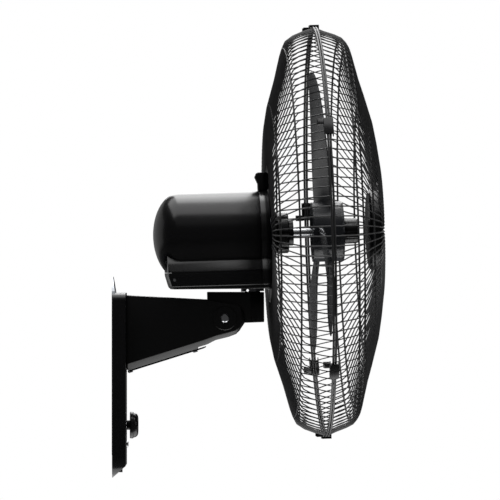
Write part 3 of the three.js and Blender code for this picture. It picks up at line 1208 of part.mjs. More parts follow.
function motorShaft() {
  const tip = spinnerRear + SPINNER_LENGTH - 2;
  const wormRear = WHEEL_FORWARD - WORM_LENGTH / 2;
  const shaft = roundForward([
    [0, SHAFT_REAR], [SHAFT_RADIUS - 0.8, SHAFT_REAR], [SHAFT_RADIUS - 0.8, wormRear], [WORM_RADIUS, wormRear],
    [WORM_RADIUS, wormRear + WORM_LENGTH], [SHAFT_RADIUS, wormRear + WORM_LENGTH], [SHAFT_RADIUS, tip], [0, tip],
  ], 20);
  const pinHole = roundAcross(rod(DRIVE_PIN_RADIUS + FIT_GAP, -10, 10), 14).translate(0, -pinForward, 0);
  return cut(shaft, pinHole);
}

// Rows of a blade from root to tip: radius, angle and distance forward of the trailing and the leading edge.
const BLADE_ROWS = [
  { radius: HUB_RADIUS - 2, trailing: [-44, 14.4], leading: [40, -5] },
  { radius: 75, trailing: [-38, 11.5], leading: [37, -4.3] },
  { radius: 110, trailing: [-31, 9], leading: [33, -3.3] },
  { radius: 142, trailing: [-25, 6], leading: [29, -2.6] },
  { radius: 168, trailing: [-19, 2.6], leading: [25.5, -2.5] },
  { radius: 184, trailing: [-12, -0.8], leading: [22, -3] },
  { radius: 192, trailing: [-3, -3.2], leading: [16, -3.7] },
];
const BLADE_STEPS = 5;
const BLADE_CAMBER = 2;

function blade() {
  const corners = [];
  const index = [];
  const rows = BLADE_ROWS.length;
  const corner = (row, step, face) => (row * BLADE_STEPS + step) * 2 + face;
  for (const { radius, trailing, leading } of BLADE_ROWS) {
    for (let step = 0; step < BLADE_STEPS; step++) {
      const share = step / (BLADE_STEPS - 1);
      const turn = degrees(THREE.MathUtils.lerp(trailing[0], leading[0], share));
      const bow = BLADE_CAMBER * Math.sin(Math.PI * share);
      const forward = RIM_FORWARD + THREE.MathUtils.lerp(trailing[1], leading[1], share) - bow;
      const half = (BLADE_THICKNESS / 2) * (share === 0 || share === 1 ? 0.5 : 1);
      for (const face of [1, -1]) {
        corners.push(radius * Math.sin(turn), -(forward + face * half), radius * Math.cos(turn));
      }
    }
  }
  const quad = (a, b, c, d) => index.push(a, b, c, a, c, d);
  for (let row = 0; row + 1 < rows; row++) {
    for (let step = 0; step + 1 < BLADE_STEPS; step++) {
      quad(corner(row, step, 0), corner(row, step + 1, 0), corner(row + 1, step + 1, 0), corner(row + 1, step, 0));
      quad(corner(row, step, 1), corner(row + 1, step, 1), corner(row + 1, step + 1, 1), corner(row, step + 1, 1));
    }
    const last = BLADE_STEPS - 1;
    quad(corner(row, 0, 0), corner(row + 1, 0, 0), corner(row + 1, 0, 1), corner(row, 0, 1));
    quad(corner(row, last, 0), corner(row, last, 1), corner(row + 1, last, 1), corner(row + 1, last, 0));
  }
  for (let step = 0; step + 1 < BLADE_STEPS; step++) {
    quad(corner(0, step, 0), corner(0, step, 1), corner(0, step + 1, 1), corner(0, step + 1, 0));
    const tip = rows - 1;
    quad(corner(tip, step, 0), corner(tip, step + 1, 0), corner(tip, step + 1, 1), corner(tip, step, 1));
  }
  const geometry = new THREE.BufferGeometry();
  geometry.setAttribute('position', new THREE.Float32BufferAttribute(corners, 3));
  geometry.setIndex(index);
  return geometry;
}

function fanBlades() {
  const rear = RIM_FORWARD + HUB_REAR;
  const front = RIM_FORWARD + HUB_FRONT;
  const bossRear = pinForward + DRIVE_PIN_RADIUS + FIT_GAP;
  const hub = roundForward([
    [shaftBore, bossRear], [HUB_BOSS_RADIUS, bossRear], [HUB_BOSS_RADIUS, front - HUB_WALL],
    [HUB_RADIUS - HUB_WALL, front - HUB_WALL], [HUB_RADIUS - HUB_WALL, rear], [HUB_RADIUS, rear],
    [HUB_RADIUS, front - 4], [HUB_RADIUS - 4, front], [shaftBore, front], [shaftBore, bossRear],
  ], 30);
  const blades = [];
  for (let i = 0; i < BLADE_COUNT; i++) {
    blades.push(blade().rotateY((2 * Math.PI * i) / BLADE_COUNT));
  }
  return joined(hub, ...blades);
}

function spinnerNut() {
  const end = spinnerRear + SPINNER_LENGTH;
  const body = alongForward(lobedOutline(SPINNER_RADIUS, SPINNER_LOBES, 1.2), spinnerRear, end);
  const bore = roundForward(rod(SHAFT_RADIUS + THREAD_GAP, spinnerRear - 1, end - 2 + THREAD_GAP), 20);
  return cut(body, bore);
}

piece(spinning, 'motor_shaft', brightSteel, motorShaft());
piece(spinning, 'rotor_core', coreSteel,
  roundForward(ring(shaftBore, ROTOR_CORE_RADIUS, STATOR_REAR - 1, STATOR_FRONT + 1), 28));
piece(spinning, 'drive_pin', brightSteel,
  roundAcross(rod(DRIVE_PIN_RADIUS, -DRIVE_PIN_LENGTH / 2, DRIVE_PIN_LENGTH / 2), 12), [0, -pinForward, 0]);
piece(spinning, 'fan_blades', smokedPlastic, fanBlades());
piece(spinning, 'spinner_nut', blackPlastic, spinnerNut());

export default fan;
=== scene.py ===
# %% [markdown]
# # A wall mounted fan, dressed for its picture
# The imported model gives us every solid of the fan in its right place, but its cage has few wires and its edges are
# sharp. In this lesson we keep those solids as a frame to build on, model the parts that the eye rests on again with
# Blender's own tools, and give every surface a finish made of nodes.

# %% Load the frame
import json
from math import cos, pi, radians, sin

import bmesh
import bpy
from mathutils import Matrix, Vector


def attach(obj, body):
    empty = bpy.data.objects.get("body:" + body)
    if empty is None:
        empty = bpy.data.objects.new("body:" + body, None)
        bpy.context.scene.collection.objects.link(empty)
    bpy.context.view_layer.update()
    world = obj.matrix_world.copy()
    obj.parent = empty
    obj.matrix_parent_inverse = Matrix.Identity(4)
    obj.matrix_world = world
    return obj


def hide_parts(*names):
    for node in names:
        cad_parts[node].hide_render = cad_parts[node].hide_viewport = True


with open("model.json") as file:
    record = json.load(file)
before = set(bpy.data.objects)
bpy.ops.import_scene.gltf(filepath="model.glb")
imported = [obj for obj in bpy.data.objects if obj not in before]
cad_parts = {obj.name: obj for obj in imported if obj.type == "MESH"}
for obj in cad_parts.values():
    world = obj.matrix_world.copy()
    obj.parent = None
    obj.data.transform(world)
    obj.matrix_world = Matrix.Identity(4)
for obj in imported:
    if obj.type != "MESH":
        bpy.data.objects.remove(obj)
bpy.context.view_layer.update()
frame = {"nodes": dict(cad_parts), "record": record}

# %% [markdown]
# ## Millimetres, and the fan's own directions
# A maker measures this fan in millimetres: across, forward from the wall, and up. Blender works in metres and has its
# front along minus Y. One small function turns the first into the second, so that every size below reads as it would
# on a drawing. The motor head is not square to the wall: its neck leans back a little and the head has swung aside.
# We model the head square and move it into place at the end, which is far easier than modelling it askew.

# %% Places
MM = 0.001
PIVOT_FORWARD, PIVOT_HEIGHT = 136.5, 71.6
HEAD_TILT, HEAD_SWING = 1.76, 3.3


def placed(across, forward, up):
    return Vector((across * MM, -forward * MM, up * MM))


def shifted(across, forward, up):
    return Matrix.Translation(placed(across, forward, up))


WALL = Matrix.Identity(4)
NECK = shifted(0, PIVOT_FORWARD, PIVOT_HEIGHT) @ Matrix.Rotation(radians(-HEAD_TILT), 4, "X")
HEAD = NECK @ shifted(0, 34.5, 101) @ Matrix.Rotation(radians(HEAD_SWING), 4, "Z")
print("the swing axis passes the fan's own axis at", *HEAD.translation)

# %% [markdown]
# ## Selecting in code
# Every operator works on what is selected, and the imported solids arrive selected. So each step starts by clearing
# the selection, and faces or corners are then picked by their place, much as you would box-select them by hand.

# %% Helpers for selecting


def only(body):
    if bpy.context.object and bpy.context.object.mode != "OBJECT":
        bpy.ops.object.mode_set(mode="OBJECT")
    bpy.ops.object.select_all(action="DESELECT")
    if body:
        body.select_set(True)
        bpy.context.view_layer.objects.active = body
    return body


def editing(body, kind="VERT", select="SELECT"):
    only(body)
    bpy.ops.object.mode_set(mode="EDIT")
    bpy.ops.mesh.select_mode(type=kind)
    bpy.ops.mesh.select_all(action=select)


def pick(kind, wanted):
    bpy.ops.mesh.select_mode(type=kind)
    bpy.ops.mesh.select_all(action="DESELECT")
    mesh = bmesh.from_edit_mesh(bpy.context.object.data)
    elements = {"VERT": mesh.verts, "EDGE": mesh.edges, "FACE": mesh.faces}[kind]
    for element in elements:
        if wanted(element):
            element.select_set(True)
    mesh.select_flush_mode()
    bmesh.update_edit_mesh(bpy.context.object.data)


def sealed(body):
    """Merges doubles and turns the faces outwards."""
    editing(body)
    bpy.ops.mesh.remove_doubles(threshold=0.002 * MM)
    bpy.ops.mesh.normals_make_consistent(inside=False)
    return only(body)


# %% [markdown]
# ## Lines, prisms and turned shapes
# Nearly all of this fan is either turned, like the hub and the housing, or cut to an outline, like the arm. Both
# start from a line. A plane merged to a single corner is the shortest way to one: we extrude that corner from point
# to point. A closed line becomes a face and is extruded to a prism; an open one is spun round an axis.

# %% Helpers for shapes


def drawn(name, points, closed=False):
    only(None)
    bpy.ops.mesh.primitive_plane_add(size=MM)
    line = bpy.context.object
    line.name = line.data.name = name
    bpy.ops.object.mode_set(mode="EDIT")
    bpy.ops.mesh.merge(type="CENTER")
    spots = [placed(*point) for point in points]
    bpy.ops.transform.translate(value=spots[0])
    for before, after in zip(spots, spots[1:]):
        bpy.ops.mesh.extrude_region_move(TRANSFORM_OT_translate={"value": after - before})
    if closed:
        pick("VERT", lambda corner: len(corner.link_edges) < 2)
        bpy.ops.mesh.edge_face_add()
        bpy.ops.mesh.select_all(action="SELECT")
        bpy.ops.mesh.edge_face_add()
    return only(line)


SPOTS = {  # how a pair of sizes lies in space, for an outline or profile about each axis
    "across": lambda a, b, at=0: (at, a, b),
    "forward": lambda a, b, at=0: (a, at, b),
    "up": lambda a, b, at=0: (a, b, at),
}
PROFILES = {
    "across": lambda radius, at: (at, 0, radius),
    "forward": lambda radius, at: (radius, at, 0),
    "up": lambda radius, at: (radius, 0, at),
}
AXES = {"across": (1, 0, 0), "forward": (0, 1, 0), "up": (0, 0, 1)}


def prism(name, outline, axis, start, end):
    body = drawn(name, [SPOTS[axis](a, b, start) for a, b in outline], closed=True)
    editing(body, "FACE")
    reach = placed(*SPOTS[axis](0, 0, end)) - placed(*SPOTS[axis](0, 0, start))
    bpy.ops.mesh.extrude_region_move(TRANSFORM_OT_translate={"value": reach})
    return sealed(body)


def turned(name, profile, axis="forward", steps=96):
    body = drawn(name, [PROFILES[axis](*point) for point in profile])
    editing(body)
    bpy.ops.mesh.spin(steps=steps, angle=2 * pi, center=(0, 0, 0), axis=AXES[axis])
    return sealed(body)


def copied(body, place=Matrix.Identity(4)):
    """A copy with its own mesh, moved by place."""
    only(body)
    bpy.ops.object.duplicate()
    return moved(bpy.context.object, place)


def moved(body, place):
    only(body)
    body.matrix_world = place
    bpy.ops.object.transform_apply(location=True, rotation=True, scale=True)
    return body


def gathered(first, *others):
    """Several meshes in one object."""
    only(first)
    for other in others:
        other.select_set(True)
    bpy.ops.object.join()
    return only(first)


def modified(body, kind, **settings):
    only(body)
    bpy.ops.object.modifier_add(type=kind)
    modifier = body.modifiers[-1]
    for setting, value in settings.items():
        setattr(modifier, setting, value)
    bpy.ops.object.modifier_apply(modifier=modifier.name)
    return body


def combined(body, tool, how="UNION"):
    modified(body, "BOOLEAN", operation=how, object=tool, solver="EXACT")
    bpy.data.objects.remove(tool)
    return sealed(body)


def cut(body, *tools):
    for tool in tools:
        combined(body, tool, "DIFFERENCE")
    return body


def softened(body, width, segments=3, angle=32):
    """Rounds the edges, after flat faces that a cut left in pieces are made whole."""
    editing(body, "FACE")
    bpy.ops.mesh.dissolve_limited(angle_limit=radians(0.4))
    modified(body, "BEVEL", width=width * MM, segments=segments, limit_method="ANGLE", angle_limit=radians(angle))
    return sealed(body)


def arc(radius, start, end, steps, centre=(0, 0)):
    """Points on a round corner, in degrees from the first direction towards the second."""
    turns = [radians(start + (end - start) * step / steps) for step in range(steps + 1)]
    return [(centre[0] + radius * cos(turn), centre[1] + radius * sin(turn)) for turn in turns]


# %% [markdown]
# ## Handing a piece over
# A finished piece has to ride on the body that carries it, may stand for a solid of the frame, and names the record's
# material it takes its finish from. Its own materials are made further down, so here we only note which one it gets.

# %% Helper for finished pieces
PLACES = {"wall_bracket": WALL, "knob": WALL, "neck": NECK}
finish_of = {}


def done(body, name, rides, slot, *stands_for, smooth=32):
    body.name = body.data.name = name
    moved(body, PLACES.get(rides, HEAD))
    bpy.ops.object.shade_smooth_by_angle(angle=radians(smooth))
    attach(body, rides)
    if stands_for:
        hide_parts(*stands_for)
    finish_of[body.name] = slot
    print(name, len(body.data.polygons), "faces")
    return body


# %% [markdown]
# ## Camera
# The picture was taken square from the side with a long lens. Ten metres away, a lens of 593 mm takes in 607 mm of
# the fan, and the near and the far rim of the cage then lie as close together as they do in the picture.

# %% Camera
VIEW_FORWARD, VIEW_HEIGHT, VIEW_WIDTH = 166.9, 154.1, 606.8
CAMERA_AWAY, CAMERA_REACH = 10, 100  # metres
camera_data = bpy.data.cameras.new("camera")
camera_data.lens = camera_data.sensor_width * CAMERA_AWAY / (VIEW_WIDTH * MM)
camera_data.clip_end = CAMERA_REACH
camera = bpy.data.objects.new("camera", camera_data)
bpy.context.scene.collection.objects.link(camera)
camera.location = Vector((-CAMERA_AWAY, -VIEW_FORWARD * MM, VIEW_HEIGHT * MM))
camera.rotation_euler = (pi / 2, 0, -pi / 2)
bpy.context.scene.camera = camera
print("lens", round(camera_data.lens), "mm")

# %% [markdown]
# ## Control box
# A moulded lid over the wall plate, open at the back, with a lower end that slopes towards the wall. We draw its
# front outline with round corners, extrude it, and keep only what a side outline with the sloping end has in common
# with it. That is quicker than sloping the end by hand, because the round corners are sloped along with it. A second,
# smaller form, cut from the first, leaves the wall.

# %% Control box
BOX_HALF, BOX_TOP, BOX_BOTTOM, BOX_BACK, BOX_FACE = 60, 102, -121.5, 0.3, 16.7
BOX_TOP_CORNER, BOX_LOW_CORNER, END_RISE = 10, 27, 14.6
BOX_WALL = 2.5


def rounded_outline(half, bottom, top, low_corner, top_corner, steps=8):
    return (arc(low_corner, -90, 0, steps, (half - low_corner, bottom + low_corner))
            + arc(top_corner, 0, 90, steps, (half - top_corner, top - top_corner))
            + arc(top_corner, 90, 180, steps, (top_corner - half, top - top_corner))
            + arc(low_corner, 180, 270, steps, (low_corner - half, bottom + low_corner)))


def box_form(inset, back):
    lower = BOX_BOTTOM + 1.3 * inset
    form = prism("box", rounded_outline(
        BOX_HALF - inset, lower, BOX_TOP - inset, BOX_LOW_CORNER - inset, BOX_TOP_CORNER - inset),
        "forward", back, BOX_FACE - inset)
    side = [(back, lower), (BOX_FACE - inset, lower + END_RISE), (BOX_FACE - inset, BOX_TOP + 1), (back, BOX_TOP + 1)]
    return combined(form, prism("side", side, "across", -BOX_HALF - 1, BOX_HALF + 1), "INTERSECT")


box = softened(box_form(0, BOX_BACK), 2.2, 4)
cut(box, box_form(BOX_WALL, -2))
done(box, "control_box", "wall_bracket", "black_gloss", "wall_box")

# %% [markdown]
# ## Speed knob
# A turned knob: a short stem, a straight flange to grip, and a dome. Small steps in the profile matter here, because
# each one catches its own line of light. A groove on the dome shows which way it points.

# %% Speed knob
KNOB_HEIGHT = -58.3
knob = turned("knob", [
    (3.3, 17), (5.8, 17), (5.8, 21.2), (15.6, 21.2), (16.2, 21.8), (16.2, 24.9), (15.5, 25.5), (15.2, 25.6),
    (15.1, 26.5), (14.6, 28.2), (13.3, 29.9), (11.2, 31.1), (8.4, 31.5), (0, 31.6), (0, 24), (3.3, 24), (3.3, 17)])
cut(knob, prism("groove", [(-0.7, 5), (0.7, 5), (0.7, 17), (-0.7, 17)], "forward", 29.6, 33))
moved(softened(knob, 0.25, 2, 40), shifted(0, 0, KNOB_HEIGHT))
done(knob, "speed_dial", "knob", "black_gloss", "speed_knob")

# %% [markdown]
# ## Arm
# A hollow casting, 62 mm wide, whose lower edges are cut back by a broad flat that shows as a grey stripe in the
# picture. We draw the side outline for the middle, extrude it, then extrude both flanks once more and lift only
# their lower corners. The slot for the neck and the raised pads round the pivot are cut and joined afterwards.

# %% Arm
ARM_HALF, ARM_CHAMFER = 31, 8.5
CHEEK_INNER, PAD_RADIUS, PAD_OUTER = 23.8, 14.5, 32.5
BOLT_BORE = 4.3
arm_outline = [  # forward, up, and how far the lower edge is drawn back on the flanks, as (forward, up)
    (17, 11.9, 0, 1), (18.8, 7.9, 0, 1), (113.5, 37.6, 0, 1), (125.5, 43.7, 0, 0.8), (140.2, 47.3, 0, 0.8),
    (149.9, 51, 0, 0.7), (154.7, 55.8, 0, 0.6), (162, 66.7, -0.5, 0), (161, 78.6, -0.5, 0), (156, 84.6, 0, 0),
    (152, 87.6, 0, 0), (114.7, 94.1, 0, 0), (22.5, 98.9, 0, 0), (17, 99.5, 0, 0)]


def arm_form():
    inner = ARM_HALF - ARM_CHAMFER
    body = prism("arm", [(forward, up) for forward, up, _, _ in arm_outline], "across", -inner, inner)
    for side in (-1, 1):
        editing(body, "FACE")
        pick("FACE", lambda face: face.normal.x * side > 0.9)
        bpy.ops.mesh.extrude_region_move(TRANSFORM_OT_translate={"value": (side * ARM_CHAMFER * MM, 0, 0)})
        for forward, up, back, lift in arm_outline:
            if back or lift:
                spot = placed(side * ARM_HALF, forward, up)
                pick("VERT", lambda corner: (corner.co - spot).length < 0.1 * MM)
                bpy.ops.transform.translate(value=placed(0, back * ARM_CHAMFER, lift * ARM_CHAMFER))
    return sealed(body)


def about_pivot(body):
    return moved(body, shifted(0, PIVOT_FORWARD, PIVOT_HEIGHT))


arm = arm_form()
cut(arm, prism("slot", [(104, 0), (170, 0), (170, 120), (104, 120)], "across", -CHEEK_INNER, CHEEK_INNER))
softened(arm, 1.1, 3, 28)
for side in (-1, 1):
    combined(arm, about_pivot(turned("pad", [
        (0, side * CHEEK_INNER), (PAD_RADIUS, side * CHEEK_INNER), (PAD_RADIUS, side * (PAD_OUTER - 0.5)),
        (PAD_RADIUS - 0.5, side * PAD_OUTER), (0, side * PAD_OUTER)], "across", 64)))
cut(arm, about_pivot(turned("bore", [(0, -40), (BOLT_BORE, -40), (BOLT_BORE, 40), (0, 40)], "across", 32)))
done(arm, "hollow_arm", "wall_bracket", "black_satin", "arm")

# %% [markdown]
# ## Neck
# The neck tilts on the bolt and carries the spindle on its round nose. Its side outline has a barrel below, and its
# plan has the nose in front: two prisms, and what they have in common is the neck.

# %% Neck
NOSE_CENTRE, NOSE_RADIUS = 34.5, 14
neck_side = ([(-20.8, 32.3), (48.5, 30.1), (47.5, -6.4), (24, -6.4)] + arc(15, -22, -180, 14) + [(-20.8, 15)])
neck_plan = ([(22, -22), (22, 31.5)] + arc(NOSE_RADIUS, 35, 145, 16, (0, NOSE_CENTRE)) + [(-22, 31.5), (-22, -22)])
neck = prism("neck", neck_side, "across", -22, 22)
combined(neck, prism("plan", neck_plan, "up", -40, 40), "INTERSECT")
softened(neck, 0.9, 3, 30)
cut(neck, turned("bore", [(0, -30), (BOLT_BORE, -30), (BOLT_BORE, 30), (0, 30)], "across", 32),
    moved(turned("foot", [(0, -20), (12, -20), (12, 2.3), (9.3, 2.3), (9.3, 50), (0, 50)], "up", 48),
          shifted(0, NOSE_CENTRE, 0)))
done(neck, "tilting_neck", "neck", "black_satin", "neck_bracket")

# %% [markdown]
# ## Motor housing
# The housing is a tube with a domed end, sunk into a squarer skirt that covers the sweep gear. We build that form
# once, solid, and cut three pieces from it: the upper cover, the base and the front shroud. Each is opened where it
# is open in reality and then given a wall, so the joints between them are real gaps and not painted lines.

# %% Housing form
HOUSING_RADIUS, DOME_REAR, DOME_LENGTH = 52, -118.7, 32
SKIRT_REAR, SKIRT_HALF, SHROUD_REAR, SHROUD_FRONT = -104, 50, 10.5, 21.5
SKIRT_BOTTOM, SKIRT_CORNER = -66.8, 4.5
SPLIT, JOINT_GAP = -44.4, 0.2
WALL_THICKNESS = 2.4


def housing_form():
    dome = [(HOUSING_RADIUS * sin(radians(turn)), DOME_REAR + DOME_LENGTH * (1 - cos(radians(turn))))
            for turn in range(0, 91, 6)]
    tube = turned("housing", dome + [(HOUSING_RADIUS, SHROUD_FRONT), (0, SHROUD_FRONT)], steps=128)
    right = [(36.4, -24), (42.5, -30), (43.6, -31.2), (49.2, -42.4), (SKIRT_HALF, -43.8), (SKIRT_HALF, -60.6),
             (SKIRT_HALF - 0.4, -61.2), (SKIRT_HALF - 1.5, -61.8), (SKIRT_HALF - 1.5, -64.6),
             (SKIRT_HALF - 2.2, -65.9), (SKIRT_HALF - 3.8, SKIRT_BOTTOM)]
    section = right + [(-across, up) for across, up in reversed(right)]
    skirt = prism("skirt", section, "forward", SKIRT_REAR, SHROUD_FRONT)
    plan = ([(SKIRT_HALF, SHROUD_FRONT)]
            + arc(SKIRT_CORNER, 0, -90, 6, (SKIRT_HALF - SKIRT_CORNER, SKIRT_REAR + SKIRT_CORNER))
            + arc(SKIRT_CORNER, -90, -180, 6, (SKIRT_CORNER - SKIRT_HALF, SKIRT_REAR + SKIRT_CORNER))
            + [(-SKIRT_HALF, SHROUD_FRONT)])
    combined(skirt, prism("plan", plan, "up", -90, 20), "INTERSECT")
    side = [(SKIRT_REAR, 0), (SKIRT_REAR, -46.8), (-100.4, -59.6), (-99.4, -62.2), (-97, -64.3),
            (SHROUD_FRONT, SKIRT_BOTTOM), (SHROUD_FRONT, 0)]
    combined(skirt, prism("side", side, "across", -60, 60), "INTERSECT")
    return combined(tube, skirt)


whole_form = housing_form()
print("housing form", len(whole_form.data.polygons), "faces")

# %% [markdown]
# A bisect cuts a form along a plane and can throw one side away. With the cut left open, a Solidify modifier then
# gives the wall its thickness inwards. A narrow bevel comes last, and it is what turns a sharp computer edge into
# the fine highlight that runs along every moulded rim.

# %% Covers


def sliced(body, spot, normal):
    """Throws away what lies on the normal's side of a plane, and leaves the cut open."""
    editing(body)
    bpy.ops.mesh.bisect(plane_co=placed(*spot), plane_no=placed(*normal).normalized(), clear_outer=True)
    return only(body)


def walled(body):
    editing(body, "FACE")
    bpy.ops.mesh.dissolve_limited(angle_limit=radians(0.4))
    modified(body, "SOLIDIFY", thickness=WALL_THICKNESS * MM, offset=-1, use_even_offset=True)
    return body


def edged(body, width=0.45):
    return modified(body, "BEVEL", width=width * MM, segments=2, limit_method="ANGLE", angle_limit=radians(40))


cover = sliced(sliced(copied(whole_form), (0, SHROUD_REAR - 0.3, 0), (0, 1, 0)), (0, 0, SPLIT + JOINT_GAP), (0, 0, -1))
edged(walled(cover))
base = sliced(sliced(copied(whole_form), (0, SHROUD_REAR - 0.3, 0), (0, 1, 0)), (0, 0, SPLIT - JOINT_GAP), (0, 0, 1))
edged(walled(base))
shroud = edged(walled(sliced(whole_form, (0, SHROUD_REAR, 0), (0, -1, 0))), 0.9)
print("covers", len(cover.data.polygons), len(base.data.polygons), len(shroud.data.polygons))

# %% [markdown]
# The domed end should be slotted so that air reaches the motor. One slot is made, and `spin` with copies sets
# eighteen of them round the axis for a single boolean. In this version the boolean leaves the dome closed, and why it
# does has not been found. The holes for the swivel spindle and the screws are cut after it.

# %% Vents, spindle hole and shroud opening
VENTS, VENT_RADIUS, VENT_INNER, VENT_OUTER = 18, 1.2, 15.2, 33.8
SPINDLE_HOLE, SHAFT_HOLE = 15, 20.3
SCREW_HOLE, SCREW_FORWARD, SCREW_HEIGHT = 1.5, -96.8, -53.2


def round_the_axis(body, count):
    editing(body)
    bpy.ops.mesh.spin(steps=count - 1, dupli=True, angle=2 * pi * (count - 1) / count, center=(0, 0, 0),
                      axis=AXES["forward"])
    return only(body)


slot = prism("slot", arc(VENT_RADIUS, 180, 360, 8, (0, VENT_INNER)) + arc(VENT_RADIUS, 0, 180, 8, (0, VENT_OUTER)),
             "forward", -125, -95)
editing(slot)
bpy.ops.transform.rotate(value=pi / VENTS, orient_axis="Y", center_override=(0, 0, 0))
cut(cover, round_the_axis(only(slot), VENTS))
done(cover, "housing_cover", "head", "black_gloss", "motor_cover")

spindle_hole = turned("hole", [(0, -90), (SPINDLE_HOLE, -90), (SPINDLE_HOLE, -50), (0, -50)], "up", 64)
cut(shroud, copied(spindle_hole))
cut(base, spindle_hole,
    moved(turned("screw_hole", [(0, -70), (SCREW_HOLE, -70), (SCREW_HOLE, 70), (0, 70)], "across", 24),
          shifted(0, SCREW_FORWARD, SCREW_HEIGHT)))
done(base, "housing_base", "head", "black_gloss", "base_cover")

# %% [markdown]
# The shroud closes the housing behind the cage. A saddle strap lies over the joint, and a lug stands on it. Both are
# one moulding with the shroud, so each is finished by itself and then joined to it.

# %% Shroud
STRAP_HALF_ANGLE = 38
cut(shroud, turned("opening", [(0, 0), (SHAFT_HOLE, 0), (SHAFT_HOLE, 60), (0, 60)], steps=64))
strap = drawn("strap", [(52.6, -0.5, 0), (54.1, -0.5, 0), (54.6, 0.2, 0), (54.6, 13.5, 0), (54, 14.5, 0),
                        (52.6, 14.5, 0), (52.6, -0.5, 0)])
editing(strap)
bpy.ops.transform.rotate(value=radians(90 - STRAP_HALF_ANGLE), orient_axis="Y", center_override=(0, 0, 0))
bpy.ops.mesh.spin(steps=32, angle=radians(2 * STRAP_HALF_ANGLE), center=(0, 0, 0), axis=(0, -1, 0))
sealed(strap)
print("strap reaches", [round(value / MM) for value in strap.dimensions])
for end in (-1, 1):
    editing(strap)
    pick("EDGE", lambda edge: len(edge.link_faces) == 1 and edge.verts[0].co.x * end > 0)
    bpy.ops.mesh.edge_face_add()
combined(sealed(strap), prism("strap_plan", [(-52, 16), (-32.5, 4.5), (-7, -0.5), (7, -0.5), (32.5, 4.5), (52, 16)],
                              "up", 0, 60), "INTERSECT")
lug = prism("lug", [(10, 52), (20, 51), (23, 55), (23, 72.4), (21.8, 73.9), (20, 74.4), (10.5, 74.4), (8.6, 73.2),
                    (6.5, 68.4), (9.9, 60.4)], "across", -7, 7)
combined(combined(shroud, strap), softened(lug, 0.8, 2))
done(shroud, "shroud", "head", "black_gloss", "front_shroud")

# %% [markdown]
# ## The cage
# Each half of the cage has a hundred and thirty wires. One wire is drawn as a line of corners, turned into a curve so
# that it gets a section, and turned back into a mesh with a few dozen faces. `spin` with copies does the rest. Rings
# and the two close wires of the rim are tori, and all of one half is joined into one piece, as it is welded.

# %% Cage
RIM_FORWARD = 84.1
WIRES = 130
WIRE_RADIUS, RING_RADIUS, RIM_WIRE_RADIUS = 0.85, 1.15, 1.3
RIM_RADII, RIM_HALF_GAP = (248, 246), 0.15
REAR_PATH = [(1.8, 247), (13.5, 243.4), (26, 238.4), (34.3, 232.6), (37.6, 225.6), (39.8, 219), (47.7, 189),
             (57.4, 157.5), (61.4, 137), (62.3, 116.5), (62.9, 89.4), (63, 84.6)]
FRONT_PATH = [(1.8, 247), (10, 243.2), (23.8, 238.4), (31.6, 234.6), (36, 229.6), (38.6, 225), (40, 220.6),
              (48.2, 189), (54.9, 167.5), (63.7, 137), (67.6, 116), (72.2, 86), (73.4, 60), (73.6, 54)]
REAR_RINGS = [(38, 223.6), (57.2, 156), (61.6, 86)]
FRONT_RINGS = [(30.6, 233.4), (37.8, 222.8), (54.2, 166), (72, 58)]


def ring(radius, forward, thick):
    only(None)
    bpy.ops.mesh.primitive_torus_add(major_radius=radius * MM, minor_radius=thick * MM, major_segments=160,
                                     minor_segments=8, rotation=(pi / 2, 0, 0), location=placed(0, forward, 0))
    bpy.context.object.name = "ring"
    bpy.ops.object.transform_apply(location=True, rotation=True, scale=True)
    return bpy.context.object


def wires(name, path, direction):
    drawn(name, [(0, RIM_FORWARD + direction * out, radius) for out, radius in path])
    bpy.ops.object.convert(target="CURVE")
    curve = bpy.context.object
    curve.data.bevel_depth = WIRE_RADIUS * MM
    curve.data.bevel_resolution = 0
    curve.data.use_fill_caps = True
    bpy.ops.object.convert(target="MESH")
    return round_the_axis(bpy.context.object, WIRES)


def cage_half(path, rings, direction):
    half = wires("cage", path, direction)
    rim = gathered(*[ring(radius, RIM_FORWARD + direction * (RIM_WIRE_RADIUS + RIM_HALF_GAP), RIM_WIRE_RADIUS)
                     for radius in RIM_RADII])
    return gathered(half, rim, *[ring(radius, RIM_FORWARD + direction * out, RING_RADIUS) for out, radius in rings])


done(cage_half(REAR_PATH, REAR_RINGS, -1), "rear_cage", "head", "black_wire", "rear_grille", smooth=60)
done(cage_half(FRONT_PATH, FRONT_RINGS, 1), "front_cage", "head", "black_wire", "front_grille", smooth=60)

# %% [markdown]
# ## Pan, nut and badge
# The rear wires end on a pressed pan that a big hand nut clamps to the motor, and the front wires are held between a
# cup and a plain disc. All four are turned. The nut's grip is cut by round flutes, copied about the axis.

# %% Pan, nut, cup and disc


def flutes(radius, distance, count, start, end):
    flute = turned("flute", [(0, start), (radius, start), (radius, end), (0, end)], steps=24)
    return round_the_axis(moved(flute, shifted(distance, 0, 0)), count)


pan = turned("pan", [
    (13.3, 28.9), (25, 28.9), (27, 28.2), (31, 24.2), (33, 23.6), (52, 23.6), (54, 22.4), (58, 22.4), (60, 23.6),
    (80.6, 23.6), (82.1, 23.2), (82.1, 22.7), (88, 22.7), (88, 24.2), (83.6, 24.2), (83.2, 24.8), (82.2, 25.1),
    (59.4, 25.1), (57.4, 23.9), (54.6, 23.9), (52.6, 25.1), (33.6, 25.1), (31.6, 25.7), (27.6, 29.7), (25.4, 30.4),
    (13.3, 30.4), (13.3, 28.9)])
done(softened(pan, 0.15, 2, 40), "cage_pan", "head", "black_satin", "grille_plate")

nut = turned("nut", [
    (13.3, 30.7), (23.6, 30.7), (25, 32), (25, 43.8), (23.6, 45.3), (16.6, 45.3), (15.7, 46.2), (15.7, 50.4),
    (14.8, 51.3), (5.5, 51.3), (5.5, 49.3), (13.3, 49.3), (13.3, 30.7)])
cut(nut, flutes(5, 28.2, 8, 29, 45.2))
done(softened(nut, 0.5, 2, 40), "cage_nut", "head", "black_gloss", "grille_nut")

